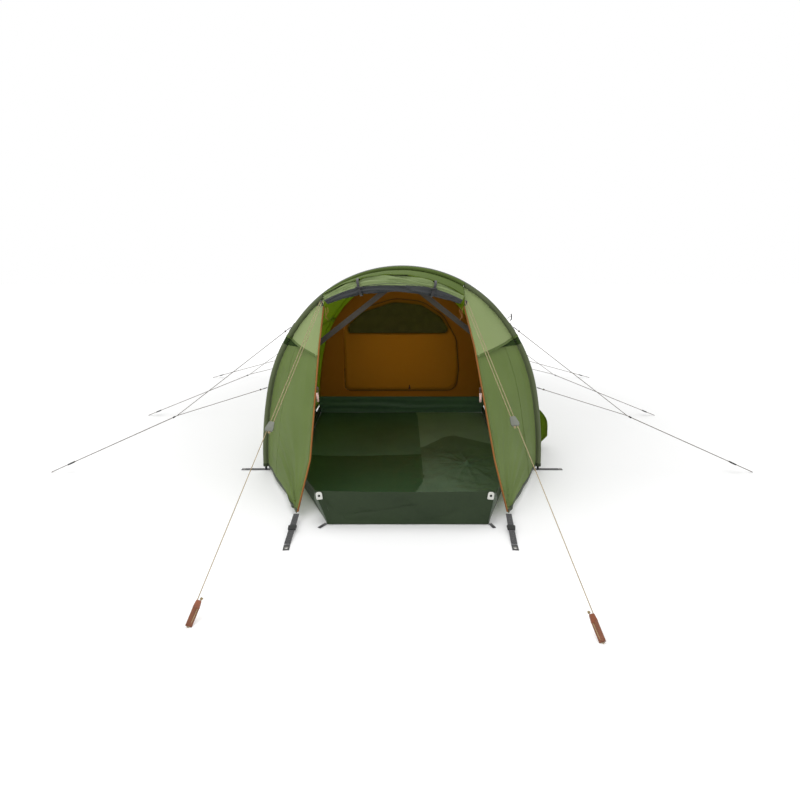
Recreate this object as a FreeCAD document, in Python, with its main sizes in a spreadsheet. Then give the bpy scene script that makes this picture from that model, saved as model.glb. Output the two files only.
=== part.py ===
import FreeCAD, Part
import math, os

# Three-hoop tunnel tent on curved poles.
# Millimetres.  +X right, +Y towards the rear, +Z up, front faces -Y.
# Origin: on the ground, at the middle of the pegged outline.

V = FreeCAD.Vector
doc = FreeCAD.newDocument("tunnel_tent")
sheet = doc.addObject("Spreadsheet::Sheet", "Sizes")

SIZES = [
    # hoop stations along Y, half width and height of each outline
    ("front_hoop_y", -1235), ("front_half_width", 750), ("front_height", 1077),
    ("middle_hoop_y", -85), ("middle_half_width", 670), ("middle_height", 1040),
    ("rear_hoop_y", 1265), ("rear_half_width", 600), ("rear_height", 840),
    ("rear_arch_y", 1810), ("rear_arch_half_width", 430), ("rear_arch_height", 550),
    ("hem_height", 25), ("door_lean", 42),
    # poles
    ("pole_od", 8.5), ("pole_id", 7.3), ("ferrule_od", 7.0), ("ferrule_id", 5.4), ("ferrule_len", 80),
    ("elastic_dia", 2.6), ("sleeve_od", 25), ("sleeve_id", 22.4), ("sleeve_foot", 245),
    ("cap_od", 12), ("cap_len", 22), ("cap_pin_dia", 5),
    # cloth
    ("cloth_t", 2.4), ("panel_t", 2.4), ("mesh_t", 1.6), ("tray_t", 2.0),
    ("front_lip_y", -1880), ("lip_height", 152), ("lip_half_width", 325), ("lip_t", 2.2),
    ("porch_wall", 70), ("inner_front_y", -65), ("inner_wall_t", 2.0), ("tray_wall", 124),
    # webbing
    ("web_width", 25), ("web_t", 1.6), ("band_width", 27), ("band_t", 1.4),
    ("eyelet_od", 18), ("eyelet_id", 12), ("eyelet_t", 3),
    # guy lines
    ("cord_dia", 3.0), ("strand_gap", 12), ("cord_hole", 3.9),
    ("slider_w", 24), ("slider_len", 34), ("slider_t", 7),
    ("ring_w", 22), ("ring_len", 7), ("ring_t", 7),
    ("tri_w", 34), ("tri_len", 46), ("tri_t", 7),
    ("fit_w", 22), ("fit_len", 26), ("fit_t", 7),
    ("tab_w", 14), ("tab_len", 24), ("tab_t", 3),
    # hardware
    ("lock_w", 36), ("lock_len", 30), ("lock_t", 7), ("lock_slot", 27), ("lock_gap", 3.0),
    ("pull_w", 9), ("pull_len", 24), ("pull_t", 2.4), ("zip_w", 8), ("zip_t", 5),
    ("toggle_len", 34), ("toggle_dia", 8),
]
for i, (alias, value) in enumerate(SIZES):
    sheet.set("A%d" % (i + 1), alias)
    sheet.set("B%d" % (i + 1), str(value))
    sheet.setAlias("B%d" % (i + 1), alias)
doc.recompute()
S = {alias: float(sheet.get(alias)) for alias, value in SIZES}

NODES = []          # the objects that are written, one file each


def keep(obj, label):
    obj.Label = label
    NODES.append(obj)
    return obj


def feature(label, shape):
    obj = doc.addObject("Part::Feature", "F_" + label)
    obj.Shape = shape
    obj.Placement = FreeCAD.Placement()
    return keep(obj, label)


def compound(label, objs):
    obj = doc.addObject("Part::Compound", "C_" + label)
    obj.Links = objs
    return keep(obj, label)


def bind(obj, **pairs):
    for prop, alias in pairs.items():
        obj.setExpression(prop, alias if any(c in alias for c in "+-*/.") else "Sizes." + alias)


def frame_of(z_dir, x_hint):
    """Rotation whose Z is z_dir and whose X is as near x_hint as it can be."""
    z = V(z_dir).normalize()
    x = V(x_hint) - z * V(x_hint).dot(z)
    x.normalize()
    y = z.cross(x)
    m = FreeCAD.Matrix(x.x, y.x, z.x, 0, x.y, y.y, z.y, 0, x.z, y.z, z.z, 0, 0, 0, 0, 1)
    return FreeCAD.Placement(m).Rotation


def place(obj, pos, rot=None):
    obj.Placement = FreeCAD.Placement(pos, rot or FreeCAD.Rotation())


# ---------------------------------------------------------------- hoop curve
# Each hoop is five tangent arcs: crown, two shoulders, two legs.  The legs stand
# square on the ground.
PHI1, PHI2 = math.radians(48), math.radians(78)


class Hoop:
    def __init__(self, y, a, h):
        self.y, self.a, self.h = y, a, h
        self.R1 = (a - 0.10534 * h) / 0.95996
        self.R2 = 1.35 * self.R1
        self.R3 = (h - 0.9535 * self.R1) / 0.2079
        self.c1 = (0.0, h - self.R1)
        self.c2 = (self.c1[0] - (self.R2 - self.R1) * math.sin(PHI1), self.c1[1] - (self.R2 - self.R1) * math.cos(PHI1))
        self.c3 = (self.c2[0] - (self.R3 - self.R2) * math.sin(PHI2), self.c2[1] - (self.R3 - self.R2) * math.cos(PHI2))

    def at(self, phi, d=0.0):
        """(x, z) at angle phi from the top (right side positive), d inside the outline."""
        s, p = (1 if phi >= 0 else -1), abs(phi)
        c, r = (self.c1, self.R1) if p <= PHI1 else (self.c2, self.R2) if p <= PHI2 else (self.c3, self.R3)
        return s * (c[0] + (r - d) * math.sin(p)), c[1] + (r - d) * math.cos(p)

    def pt(self, phi, d=0.0, y=None):
        x, z = self.at(phi, d)
        return V(x, self.y if y is None else y, z)

    def phi_of_z(self, z, d=0.0):
        lo, hi = 0.0, math.pi / 2 + 0.05
        for _ in range(60):
            mid = (lo + hi) / 2
            if self.at(mid, d)[1] > z:
                lo = mid
            else:
                hi = mid
        return (lo + hi) / 2

    def x_of_z(self, z, d=0.0):
        return self.at(self.phi_of_z(z, d), d)[0]

    def arc_len(self, phi, d):
        p = abs(phi)
        s = min(p, PHI1) * (self.R1 - d)
        if p > PHI1:
            s += (min(p, PHI2) - PHI1) * (self.R2 - d)
        if p > PHI2:
            s += (p - PHI2) * (self.R3 - d)
        return s if phi >= 0 else -s

    def phi_of_len(self, s, d):
        q = abs(s)
        l1 = PHI1 * (self.R1 - d)
        l2 = l1 + (PHI2 - PHI1) * (self.R2 - d)
        if q <= l1:
            p = q / (self.R1 - d)
        elif q <= l2:
            p = PHI1 + (q - l1) / (self.R2 - d)
        else:
            p = PHI2 + (q - l2) / (self.R3 - d)
        return p if s >= 0 else -p

    def edges(self, p0, p1, d, y=None):
        """Tangent arc edges from angle p0 to p1 (p0 < p1)."""
        cuts = [p0] + [c for c in (-PHI2, -PHI1, PHI1, PHI2) if p0 + 1e-6 < c < p1 - 1e-6] + [p1]
        out = []
        for a, b in zip(cuts, cuts[1:]):
            out.append(Part.Arc(self.pt(a, d, y), self.pt((a + b) / 2, d, y), self.pt(b, d, y)).toShape())
        return out


H1 = Hoop(S["front_hoop_y"], S["front_half_width"], S["front_height"])
H2 = Hoop(S["middle_hoop_y"], S["middle_half_width"], S["middle_height"])
H3 = Hoop(S["rear_hoop_y"], S["rear_half_width"], S["rear_height"])
H4 = Hoop(S["rear_arch_y"], S["rear_arch_half_width"], S["rear_arch_height"])
HOOPS = [H1, H2, H3]
POLE_D = S["sleeve_od"] / 2                      # outline to pole centre
FLY_D = S["sleeve_od"] + 0.6                     # outline to the cloth's outer face


def pipe(hoop, p0, p1, d, r, ri=None):
    """Round bar or tube along the hoop between two angles: one revolved piece for each arc."""
    cuts = [p0] + [c for c in (-PHI2, -PHI1, PHI1, PHI2) if p0 + 1e-6 < c < p1 - 1e-6] + [p1]
    parts = []
    for a, b in zip(cuts, cuts[1:]):
        m = (a + b) / 2
        s, p = (1 if m >= 0 else -1), abs(m)
        c, rr = (hoop.c1, hoop.R1) if p <= PHI1 else (hoop.c2, hoop.R2) if p <= PHI2 else (hoop.c3, hoop.R3)
        cen = V(s * c[0], hoop.y, c[1])
        start = hoop.pt(a, d)
        tan = V(math.cos(a), 0, -math.sin(a))
        rings = [Part.Wire(Part.Circle(start, tan, q).toShape()) for q in ((r, ri) if ri else (r,))]
        if ri:
            rings[1].reverse()
        face = Part.Face(rings)
        parts.append(face.revolve(cen, V(0, 1, 0), math.degrees(b - a)))
    return parts


def fuse(parts):
    out = parts[0]
    if len(parts) > 1:
        out = out.fuse(parts[1:]).removeSplitter()
    return out


def tube(hoop, p0, p1, d, ro, ri):
    return fuse(pipe(hoop, p0, p1, d, ro, ri))


# ---------------------------------------------------------------- poles
for hoop, label in zip(HOOPS, ("hoop_front_pole", "hoop_middle_pole", "hoop_rear_pole")):
    foot = hoop.phi_of_z(8.0, POLE_D)
    total = 2 * hoop.arc_len(foot, POLE_D)
    n = 7
    cuts = [-total / 2 + total * k / n for k in range(n + 1)]
    solids = []
    for k in range(n):
        a = cuts[k] + (0.15 if k else 0)
        b = cuts[k + 1] - (0.15 if k < n - 1 else 0)
        solids.append(tube(hoop, hoop.phi_of_len(a, POLE_D), hoop.phi_of_len(b, POLE_D), POLE_D, S["pole_od"] / 2, S["pole_id"] / 2))
    feature(label, Part.makeCompound(solids))
    hoop.cuts = cuts
    hoop.foot = foot

ferr, cords = [], []
for hoop in HOOPS:
    for s in hoop.cuts[1:-1]:
        a = hoop.phi_of_len(s - S["ferrule_len"] / 2, POLE_D)
        b = hoop.phi_of_len(s + S["ferrule_len"] / 2, POLE_D)
        ferr.append(tube(hoop, a, b, POLE_D, S["ferrule_od"] / 2, S["ferrule_id"] / 2))
    a = hoop.phi_of_len(hoop.cuts[0] + 25, POLE_D)
    cords.append(fuse(pipe(hoop, a, -a, POLE_D, S["elastic_dia"] / 2)))
feature("pole_ferrules", Part.makeCompound(ferr))
feature("pole_shock_cords", Part.makeCompound(cords))

# end caps: a cup over the tube end with a pin that stands in the strap's grommet
caps = []
for k, hoop in enumerate(HOOPS):
    for s in (-1, 1):
        p = hoop.pt(s * hoop.foot, POLE_D)
        body = doc.addObject("Part::Cylinder", "cap_body_%d%d" % (k, s + 1))
        bind(body, Radius="Sizes.cap_od / 2", Height="cap_len")
        place(body, V(p.x, hoop.y, 2.6))
        hole = doc.addObject("Part::Cylinder", "cap_bore_%d%d" % (k, s + 1))
        bind(hole, Radius="Sizes.pole_od / 2 + 0.35", Height="cap_len")
        place(hole, V(p.x, hoop.y, 7.4))
        cup = doc.addObject("Part::Cut", "cap_cup_%d%d" % (k, s + 1))
        cup.Base, cup.Tool = body, hole
        pin = doc.addObject("Part::Cylinder", "cap_pin_%d%d" % (k, s + 1))
        bind(pin, Radius="Sizes.cap_pin_dia / 2")
        pin.Height = 2.4
        place(pin, V(p.x, hoop.y, 0.4))
        cap = doc.addObject("Part::Fuse", "cap_%d%d" % (k, s + 1))
        cap.Base, cap.Tool = cup, pin
        caps.append(cap)
compound("pole_end_caps", caps)

# cloth sleeves around the poles
sl = []
for hoop in HOOPS:
    a = hoop.phi_of_z(S["sleeve_foot"], POLE_D)
    sl.append(tube(hoop, -a, a, POLE_D, S["sleeve_od"] / 2, S["sleeve_id"] / 2))
feature("pole_sleeves", Part.makeCompound(sl))


# ---------------------------------------------------------------- flysheet
def band(hoop, d, t, z_end, y):
    """Closed thin arch profile: outer face d inside the outline, thickness t, ending z_end above the ground."""
    po, pi = hoop.phi_of_z(z_end, d), hoop.phi_of_z(z_end, d + t)
    outer = hoop.edges(-po, po, d, y)
    inner = hoop.edges(-pi, pi, d + t, y)
    o0, o1 = hoop.pt(-po, d, y), hoop.pt(po, d, y)
    i0, i1 = hoop.pt(-pi, d + t, y), hoop.pt(pi, d + t, y)
    edges = outer + [Part.LineSegment(o1, i1).toShape()] + [e for e in reversed(inner)] + [Part.LineSegment(i0, o0).toShape()]
    return Part.Wire(Part.__sortEdges__(edges))


def bay(ha, hb, da, db, t, z, ya, yb):
    return Part.makeLoft([band(ha, da, t, z, ya), band(hb, db, t, z, yb)], True, True)


T, HEM = S["cloth_t"], S["hem_height"]
G = 0.4                                           # gap between neighbouring cloth pieces
feature("fly_porch_bay", bay(H1, H2, FLY_D, FLY_D, T, HEM, H1.y + G, H2.y - G))
feature("fly_sleeping_bay", bay(H2, H3, FLY_D, FLY_D, T, HEM, H2.y + G, H3.y - G))
feature("fly_rear_end", bay(H3, H4, FLY_D, 0, T, HEM, H3.y + G, H4.y))


def arch_plate(hoop, d, z0, y, t, hole=None):
    """Flat plate across the tent at y, with the hoop's outline from z0 up."""
    p = hoop.phi_of_z(z0, d)
    edges = hoop.edges(-p, p, d, y) + [Part.LineSegment(hoop.pt(p, d, y), hoop.pt(-p, d, y)).toShape()]
    face = Part.Face(Part.Wire(Part.__sortEdges__(edges)))
    solid = face.extrude(V(0, t, 0))
    return solid


feature("fly_rear_wall", arch_plate(H4, 0, HEM, H4.y + G, T))


# ---------------------------------------------------------------- sheets from a grid of points
def sheet_solid(rows, t, flip=False):
    """Closed solid of a thin sheet: rows is a grid of points on the outer face, t the thickness."""
    m, n = len(rows), len(rows[0])
    off = []
    for i in range(m):
        line = []
        for j in range(n):
            du = rows[min(i + 1, m - 1)][j] - rows[max(i - 1, 0)][j]
            dv = rows[i][min(j + 1, n - 1)] - rows[i][max(j - 1, 0)]
            nn = du.cross(dv)
            nn.normalize()
            line.append(rows[i][j] + nn * (-t if flip else t))
        off.append(line)

    def tri(a, b, c):
        return Part.Face(Part.Wire(Part.makePolygon([a, b, c, a])))
    faces = []
    for i in range(m - 1):
        for j in range(n - 1):
            for g in (rows, off):
                a, b, c, d = g[i][j], g[i][j + 1], g[i + 1][j + 1], g[i + 1][j]
                faces += [tri(a, b, c), tri(a, c, d)]
    ring = [(0, j) for j in range(n)] + [(i, n - 1) for i in range(1, m)] + [(m - 1, j) for j in range(n - 2, -1, -1)] + [(i, 0) for i in range(m - 2, 0, -1)]
    for (i0, j0), (i1, j1) in zip(ring, ring[1:] + ring[:1]):
        a, b, c, d = rows[i0][j0], rows[i1][j1], off[i1][j1], off[i0][j0]
        faces += [tri(a, b, c), tri(a, c, d)]
    shell = Part.makeShell(faces)
    shell.sewShape()
    solid = Part.makeSolid(shell)
    if solid.Volume < 0:
        solid.reverse()
    return solid


def lerp(a, b, f):
    return a + (b - a) * f


def mirror(p):
    return V(-p.x, p.y, p.z)


# door edge: from the top corner by the hoop down and forward to the tip that is pegged out
LEAN = S["door_lean"]                              # the doorway's top sits this far to the left


def door_edge(s, side=1):
    """Point of a door edge, s from 0 at the tip to 1 at the door's top corner."""
    tip, low, high, top = V(side * 460, -1828, 30), V(side * 420, -1685, 220), V(side * 376 - LEAN * 0.62, -1423, 690), V(side * 346 - LEAN, -1300, 893)
    if s <= 0.2:
        return lerp(tip, low, s / 0.2)
    if s <= 0.78:
        return lerp(low, high, (s - 0.2) / 0.58)
    return lerp(high, top, (s - 0.78) / 0.22)


def panel_rows(side, s0, s1, z0, z1, m, n, bulge):
    """Grid between the door edge and the front hoop."""
    rows = []
    for i in range(m):
        f = i / (m - 1)
        e = door_edge(lerp(s0, s1, f), side)
        z = lerp(z0, z1, f)
        hp = H1.pt(side * H1.phi_of_z(z, FLY_D), FLY_D, H1.y - 3.4)
        row = []
        for j in range(n):
            g = j / (n - 1)
            p = lerp(e, hp, g)
            p = p + V(side, -1, 0) * (bulge * 4 * g * (1 - g))
            row.append(p)
        rows.append(row)
    return rows


for label, side in (("front_panel_left", -1), ("front_panel_right", 1)):
    feature(label, sheet_solid(panel_rows(side, 0.0, 0.775, HEM, 680, 11, 6, 6), S["panel_t"], side < 0))

# dark mesh between the side panel and the hood's top corner
HOOD_TOP = {-1: 893.0, 1: 962.0}
vent = [sheet_solid(panel_rows(side, 0.785, 0.975, 690, HOOD_TOP[side] - 3, 4, 5, 0), S["mesh_t"], side < 0) for side in (-1, 1)]

# hood over it: sewn along the door edge and the hoop, its lower edge standing off
def hood_rows(side, stand):
    rows = []
    m, n = 6, 7
    for i in range(m):
        f = i / (m - 1)
        e = door_edge(lerp(0.73, 0.985, f), side)
        z = lerp(716, HOOD_TOP[side], f)
        hp = H1.pt(side * H1.phi_of_z(z, FLY_D), FLY_D, H1.y - 3.4)
        row = []
        for j in range(n):
            g = j / (n - 1)
            p = lerp(e, hp, g)
            out = stand * (1 - f) ** 0.9 * 4 * g * (1 - g)
            row.append(p + V(side * 0.3, -4.6, 0) + V(side * 0.55, -0.83, 0.08) * out)
        rows.append(row)
    return rows


feature("vent_hood_left", sheet_solid(hood_rows(-1, 46), 1.8, True))
feature("vent_hood_right", sheet_solid(hood_rows(1, 46), 1.8, False))

def roll_centre(q):
    x = 334 * q - LEAN
    return V(x, H1.y - 62 - 26 * (1 - q * q), 990 - 79 * abs(q) ** 2.1)


def roll_r(q):
    return 24 + 20 * (1 - q * q)


# brow: strip from the front hoop forward to the top of the doorway
def brow_rows():
    rows = []
    n = 17
    for i in range(3):
        f = i / 2
        row = []
        for j in range(n):
            q = -1 + 2 * j / (n - 1)
            x = 346 * q - LEAN
            lo, hi = 0.0, math.pi / 2
            for _ in range(50):
                mid = (lo + hi) / 2
                if H1.at(mid, FLY_D)[0] < abs(x):
                    lo = mid
                else:
                    hi = mid
            hp = H1.pt(lo, FLY_D, H1.y - 1.2)
            hp.x = x
            front = V(x, H1.y - 70 - 34 * (1 - q * q), roll_centre(q).z + roll_r(q) + 11)
            p = lerp(hp, front, f)
            p.z += 6 * 4 * f * (1 - f)
            row.append(p)
        rows.append(row)
    return rows


feature("front_brow", sheet_solid(brow_rows(), 2.0, True))

# low cowl on the right wall, open towards the front
def wall_pt(y, z, d):
    f = (y - H1.y) / (H2.y - H1.y)
    return V(lerp(H1.x_of_z(z, d), H2.x_of_z(z, d), f), y, z)


def cowl_rows():
    rows = []
    zs = [345, 290, 230, 165, 95, 45, 24]
    m = 7
    for i in range(m):
        f = i / (m - 1)
        y = lerp(H1.y + 300, H1.y + 760, f)
        row = []
        for z in zs:
            w = wall_pt(y, max(z, HEM), FLY_D)
            zz = z if z > 30 else HEM
            prof = max(0.0, (345 - z) / 175.0) if z >= 95 else 1.0 - 0.42 * (95 - z) / 71.0
            prof = math.sin(min(1.0, prof) * math.pi / 2) if z >= 95 else prof
            row.append(V(w.x + 3.0 + 162 * prof * (1 - f) ** 1.1, y, zz))
        rows.append(row)
    return rows


feature("low_vent_cowl", sheet_solid(cowl_rows(), 1.8, False))
slit = []
for k in range(2):
    y = H1.y + 330 + k * 2.0
slit_rows = []
for y in (H1.y + 318, H1.y + 640):
    f = (y - H1.y - 300) / 460.0
    slit_rows.append([wall_pt(y, z, FLY_D) + V(2.2, 0, 0) for z in (60, 150, 250)])
vent.append(sheet_solid(slit_rows, 0.7, False))
feature("vent_mesh_panels", Part.makeCompound(vent))

# ---------------------------------------------------------------- rolled door
circles = []
K = 14
for k in range(K + 1):
    q = -1 + 2 * k / K
    c, e = roll_centre(q), 0.02
    tan = (roll_centre(min(1, q + e)) - roll_centre(max(-1, q - e))).normalize()
    circles.append(Part.Wire(Part.Circle(c, tan, roll_r(q)).toShape()))
feature("rolled_front_door", Part.makeLoft(circles, True, False))

# loops that hold the roll, with a toggle in front of each
loops = []
for s in (-1, 1):
    q = (s * 178 + 14) / 334.0
    c = roll_centre(q)
    tan = (roll_centre(q + 0.02) - roll_centre(q - 0.02)).normalize()
    rr = roll_r(q)
    w = 12.0
    base = c - tan * (w / 2)
    outer = Part.makeCylinder(rr + 4.4, w, base, tan)
    inner = Part.makeCylinder(rr + 2.4, w + 2, base - tan, tan)
    loops.append(outer.cut(inner))
feature("door_tie_loops", Part.makeCompound(loops))


def sketch_body(label, plane, geometry, length, symmetric=True):
    """PartDesign body: one sketch on an origin plane, padded to a sheet size."""
    body = doc.addObject("PartDesign::Body", "B_" + label)
    sk = body.newObject("Sketcher::SketchObject", "SK_" + label)
    origin = [f for f in body.Origin.OriginFeatures if f.Role == plane][0]
    sk.AttachmentSupport = [(origin, "")]
    sk.MapMode = "FlatFace"
    sk.addGeometry(geometry, False)
    pad = body.newObject("PartDesign::Pad", "PD_" + label)
    pad.Profile = sk
    bind(pad, Length=length)
    if symmetric:
        pad.Midplane = True
    sk.Visibility = False
    return body, sk, pad


def add_pocket(body, label, plane, geometry):
    sk = body.newObject("Sketcher::SketchObject", "PS_" + label)
    origin = [f for f in body.Origin.OriginFeatures if f.Role == plane][0]
    sk.AttachmentSupport = [(origin, "")]
    sk.MapMode = "FlatFace"
    sk.addGeometry(geometry, False)
    pocket = body.newObject("PartDesign::Pocket", "PK_" + label)
    pocket.Profile = sk
    pocket.Type = 1
    pocket.Midplane = True
    return pocket


def poly(points):
    pts = [V(x, y, 0) for x, y in points]
    return [Part.LineSegment(a, b) for a, b in zip(pts, pts[1:] + pts[:1])]


def rounded(points, r):
    """Polygon with rounded corners as sketch geometry."""
    out, n = [], len(points)
    pts = [V(x, y, 0) for x, y in points]
    ends = []
    for k in range(n):
        a, b, c = pts[k - 1], pts[k], pts[(k + 1) % n]
        u, w = (a - b).normalize(), (c - b).normalize()
        ang = math.acos(max(-1, min(1, u.dot(w))))
        rr = r[k] if isinstance(r, (list, tuple)) else r
        t = rr / math.tan(ang / 2)
        p, q = b + u * t, b + w * t
        bis = (u + w).normalize()
        cen = b + bis * (rr / math.sin(ang / 2))
        mid = cen - bis * rr
        ends.append((p, mid, q))
    for k in range(n):
        p, mid, q = ends[k]
        out.append(Part.Arc(p, mid, q))
        out.append(Part.LineSegment(q, ends[(k + 1) % n][0]))
    return out


def circle(x, y, r):
    return Part.Circle(V(x, y, 0), V(0, 0, 1), r)


for s, side in ((-1, "left"), (1, "right")):
    q = (s * 178 + 14) / 334.0
    c = roll_centre(q)
    body, sk, pad = sketch_body("door_toggle_" + side, "XY_Plane", [circle(0, 0, S["toggle_dia"] / 2)], "toggle_len")
    place(body, V(c.x, c.y - roll_r(q) - 4.4 - S["toggle_dia"] / 2 - 1.0, c.z), FreeCAD.Rotation(V(0, 1, 0), 90 * s))
    keep(body, "door_toggle_" + side)

# ---------------------------------------------------------------- door zips
def edge_frame(s, side):
    return door_edge(s, side), (door_edge(0.7, side) - door_edge(0.3, side)).normalize()


tapes = []
for side in (-1, 1):
    for s0, s1 in ((0.01, 0.199), (0.201, 0.779), (0.781, 0.985)):
        a, b = door_edge(s0, side), door_edge(s1, side)
        d = (b - a).normalize()
        box = doc.addObject("Part::Box", "tape_%d_%d" % (side + 1, int(s0 * 1000)))
        box.Length, box.Width = 2.0, 9.0
        box.Height = (b - a).Length
        rot = frame_of(d, V(1, 0, 0))
        place(box, a + rot.multVec(V(-6.6 if side > 0 else 4.6, -4.5, 0)), rot)
        tapes.append(box)
compound("door_zip_tapes", tapes)

ZIP_S = 0.565
for side, name in ((-1, "left"), (1, "right")):
    p, d = edge_frame(ZIP_S, side)
    rot = frame_of(d, V(-side, 0, 0))            # local X points into the doorway
    geo = rounded([(-4, 6), (4, 9), (4, 15), (-4, 15)], 1.2)
    body, sk, pad = sketch_body("door_zip_slider_" + name, "XZ_Plane", rounded([(7.4, -7), (12.4, -5), (12.4, 6), (7.4, 8)], 1.0), "zip_w")
    pull = body.newObject("Sketcher::SketchObject", "pull_" + name)
    org = [f for f in body.Origin.OriginFeatures if f.Role == "XZ_Plane"][0]
    pull.AttachmentSupport = [(org, "")]
    pull.MapMode = "FlatFace"
    pull.addGeometry(rounded([(12.2, 4.6), (12.2, 2.0), (14.8, -30), (17.8, -30), (16.2, 4.6)], 0.9), False)
    pp = body.newObject("PartDesign::Pad", "pullpad_" + name)
    pp.Profile = pull
    bind(pp, Length="pull_w")
    pp.Midplane = True
    pull.Visibility = False
    place(body, p, rot)
    keep(body, "door_zip_slider_" + name)

# ---------------------------------------------------------------- tension straps of the front hoop
bands = []
y_band = H1.y + 22
for s in (-1, 1):
    a = V(s * 13, y_band, 1017 - 10)
    b = V(s * 716, y_band, 463)
    p_end = H1.x_of_z(463, FLY_D + T) - 30
    b = V(s * p_end, y_band, 463 + (716 - p_end) * 0.78)
    box = doc.addObject("Part::Box", "tension_%d" % (s + 1))
    bind(box, Length="band_width", Width="band_t")
    box.Height = (b - a).Length
    rot = frame_of(b - a, V(0, 0, 1))
    # local Y of this frame is +-Y of the tent: centre the box on it
    off = rot.multVec(V(-S["band_width"] / 2, -S["band_t"] / 2, 0))
    place(box, a + off, rot)
    bands.append(box)
knot = doc.addObject("Part::Box", "tension_crown_patch")
knot.Length, knot.Width, knot.Height = 56, 1.2, 34
place(knot, V(-28, y_band + 2.2, 1000))
bands.append(knot)
compound("tension_straps", bands)

# ---------------------------------------------------------------- straps and eyelets on the ground
straps, eyes, MOUNTS = [], [], []


def eyelet(x, y, z=0.0):
    k = len(eyes)
    MOUNTS.append((x, y))
    o = doc.addObject("Part::Cylinder", "eye_out_%d" % k)
    bind(o, Radius="Sizes.eyelet_od / 2", Height="eyelet_t")
    i = doc.addObject("Part::Cylinder", "eye_in_%d" % k)
    bind(i, Radius="Sizes.eyelet_id / 2")
    i.Height = 10
    place(o, V(x, y, z))
    place(i, V(x, y, z - 2))
    c = doc.addObject("Part::Cut", "eye_%d" % k)
    c.Base, c.Tool = o, i
    eyes.append(c)


def ground_strap(x0, y0, x1, y1, holes, z=0.3):
    """Webbing lying on the ground from (x0, y0) to (x1, y1); holes are (distance, radius)."""
    d = V(x1 - x0, y1 - y0, 0)
    rot = frame_of(V(0, 0, 1), d)
    box = doc.addObject("Part::Box", "web_%d" % len(straps))
    bind(box, Width="web_width", Height="web_t")
    box.Length = d.Length
    place(box, V(x0, y0, z) + rot.multVec(V(0, -S["web_width"] / 2, 0)), rot)
    obj = box
    for k, (s, r) in enumerate(holes):
        cyl = doc.addObject("Part::Cylinder", "webhole_%d_%d" % (len(straps), k))
        cyl.Radius, cyl.Height = r, 10
        place(cyl, V(x0, y0, -4) + d.normalize() * s)
        cut = doc.addObject("Part::Cut", "webcut_%d_%d" % (len(straps), k))
        cut.Base, cut.Tool = obj, cyl
        obj = cut
        d = V(x1 - x0, y1 - y0, 0)
    straps.append(obj)


REYE = S["eyelet_od"] / 2 + 0.2
for hoop in HOOPS:
    foot_x = hoop.pt(hoop.foot, POLE_D).x
    inner = hoop.x_of_z(HEM, FLY_D) - 10
    for s in (-1, 1):
        end = foot_x + 132
        ground_strap(s * inner, hoop.y, s * end, hoop.y, [(foot_x - inner, S["cap_pin_dia"] / 2 + 0.8), (end - inner - 13.5, REYE)])
        eyelet(s * (end - 13.5), hoop.y)
for s in (-1, 1):
    # rear corner straps, turned outwards
    x0, y0, x1, y1 = s * 405, 1822, s * 478, 2078
    ground_strap(x0, y0, x1, y1, [(math.hypot(x1 - x0, y1 - y0) - 13.5, REYE)])
    u = V(x1 - x0, y1 - y0, 0).normalize()
    eyelet(x1 - u.x * 13.5, y1 - u.y * 13.5)
# front straps: from the panel's tip down to the ground, then flat at the eyelet; each is pegged where the ground allows
STRAP_X = {-1: 457, 1: 441}
for s in (-1, 1):
    a, b = V(s * 459.5, -1834, 28.5), V(s * STRAP_X[s], -2046, 3.2)
    d = b - a
    box = doc.addObject("Part::Box", "front_strap_%d" % (s + 1))
    bind(box, Length="web_width", Width="web_t")
    box.Height = d.Length
    rot = frame_of(d, V(1, 0, 0))
    place(box, a + rot.multVec(V(-S["web_width"] / 2, -S["web_t"] / 2, 0)), rot)
    straps.append(box)
    FRONT_STRAP_DIR = d.normalize()
    x0, y0, x1, y1 = s * (STRAP_X[s] - 0.2), -2049, s * (STRAP_X[s] - 3.4), -2092
    ground_strap(x0, y0, x1, y1, [(math.hypot(x1 - x0, y1 - y0) - 13.5, REYE)])
    u = V(x1 - x0, y1 - y0, 0).normalize()
    eyelet(x1 - u.x * 13.5, y1 - u.y * 13.5)
compound("peg_straps", straps)
compound("peg_eyelets", eyes)

# ladder-lock buckles on the front straps
LOCKS = {}
for s, side in ((-1, "left"), (1, "right")):
    a, b = V(s * 459.5, -1834, 28.5), V(s * STRAP_X[s], -2046, 3.2)
    d = (b - a).normalize()
    w, l = S["lock_w"] / 2, S["lock_len"] / 2
    body, sk, pad = sketch_body("ladder_lock_" + side, "XZ_Plane", rounded([(-w, -l), (w, -l), (w * 0.86, l), (-w * 0.86, l)], 4), "lock_t")
    add_pocket(body, "lock_slot_" + side, "XY_Plane", poly([(-S["lock_slot"] / 2, -S["lock_gap"] / 2), (S["lock_slot"] / 2, -S["lock_gap"] / 2), (S["lock_slot"] / 2, S["lock_gap"] / 2), (-S["lock_slot"] / 2, S["lock_gap"] / 2)]))
    place(body, a + d * 105, frame_of(d, V(1, 0, 0)))
    keep(body, "ladder_lock_" + side)
    LOCKS[side] = (a, d)

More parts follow.
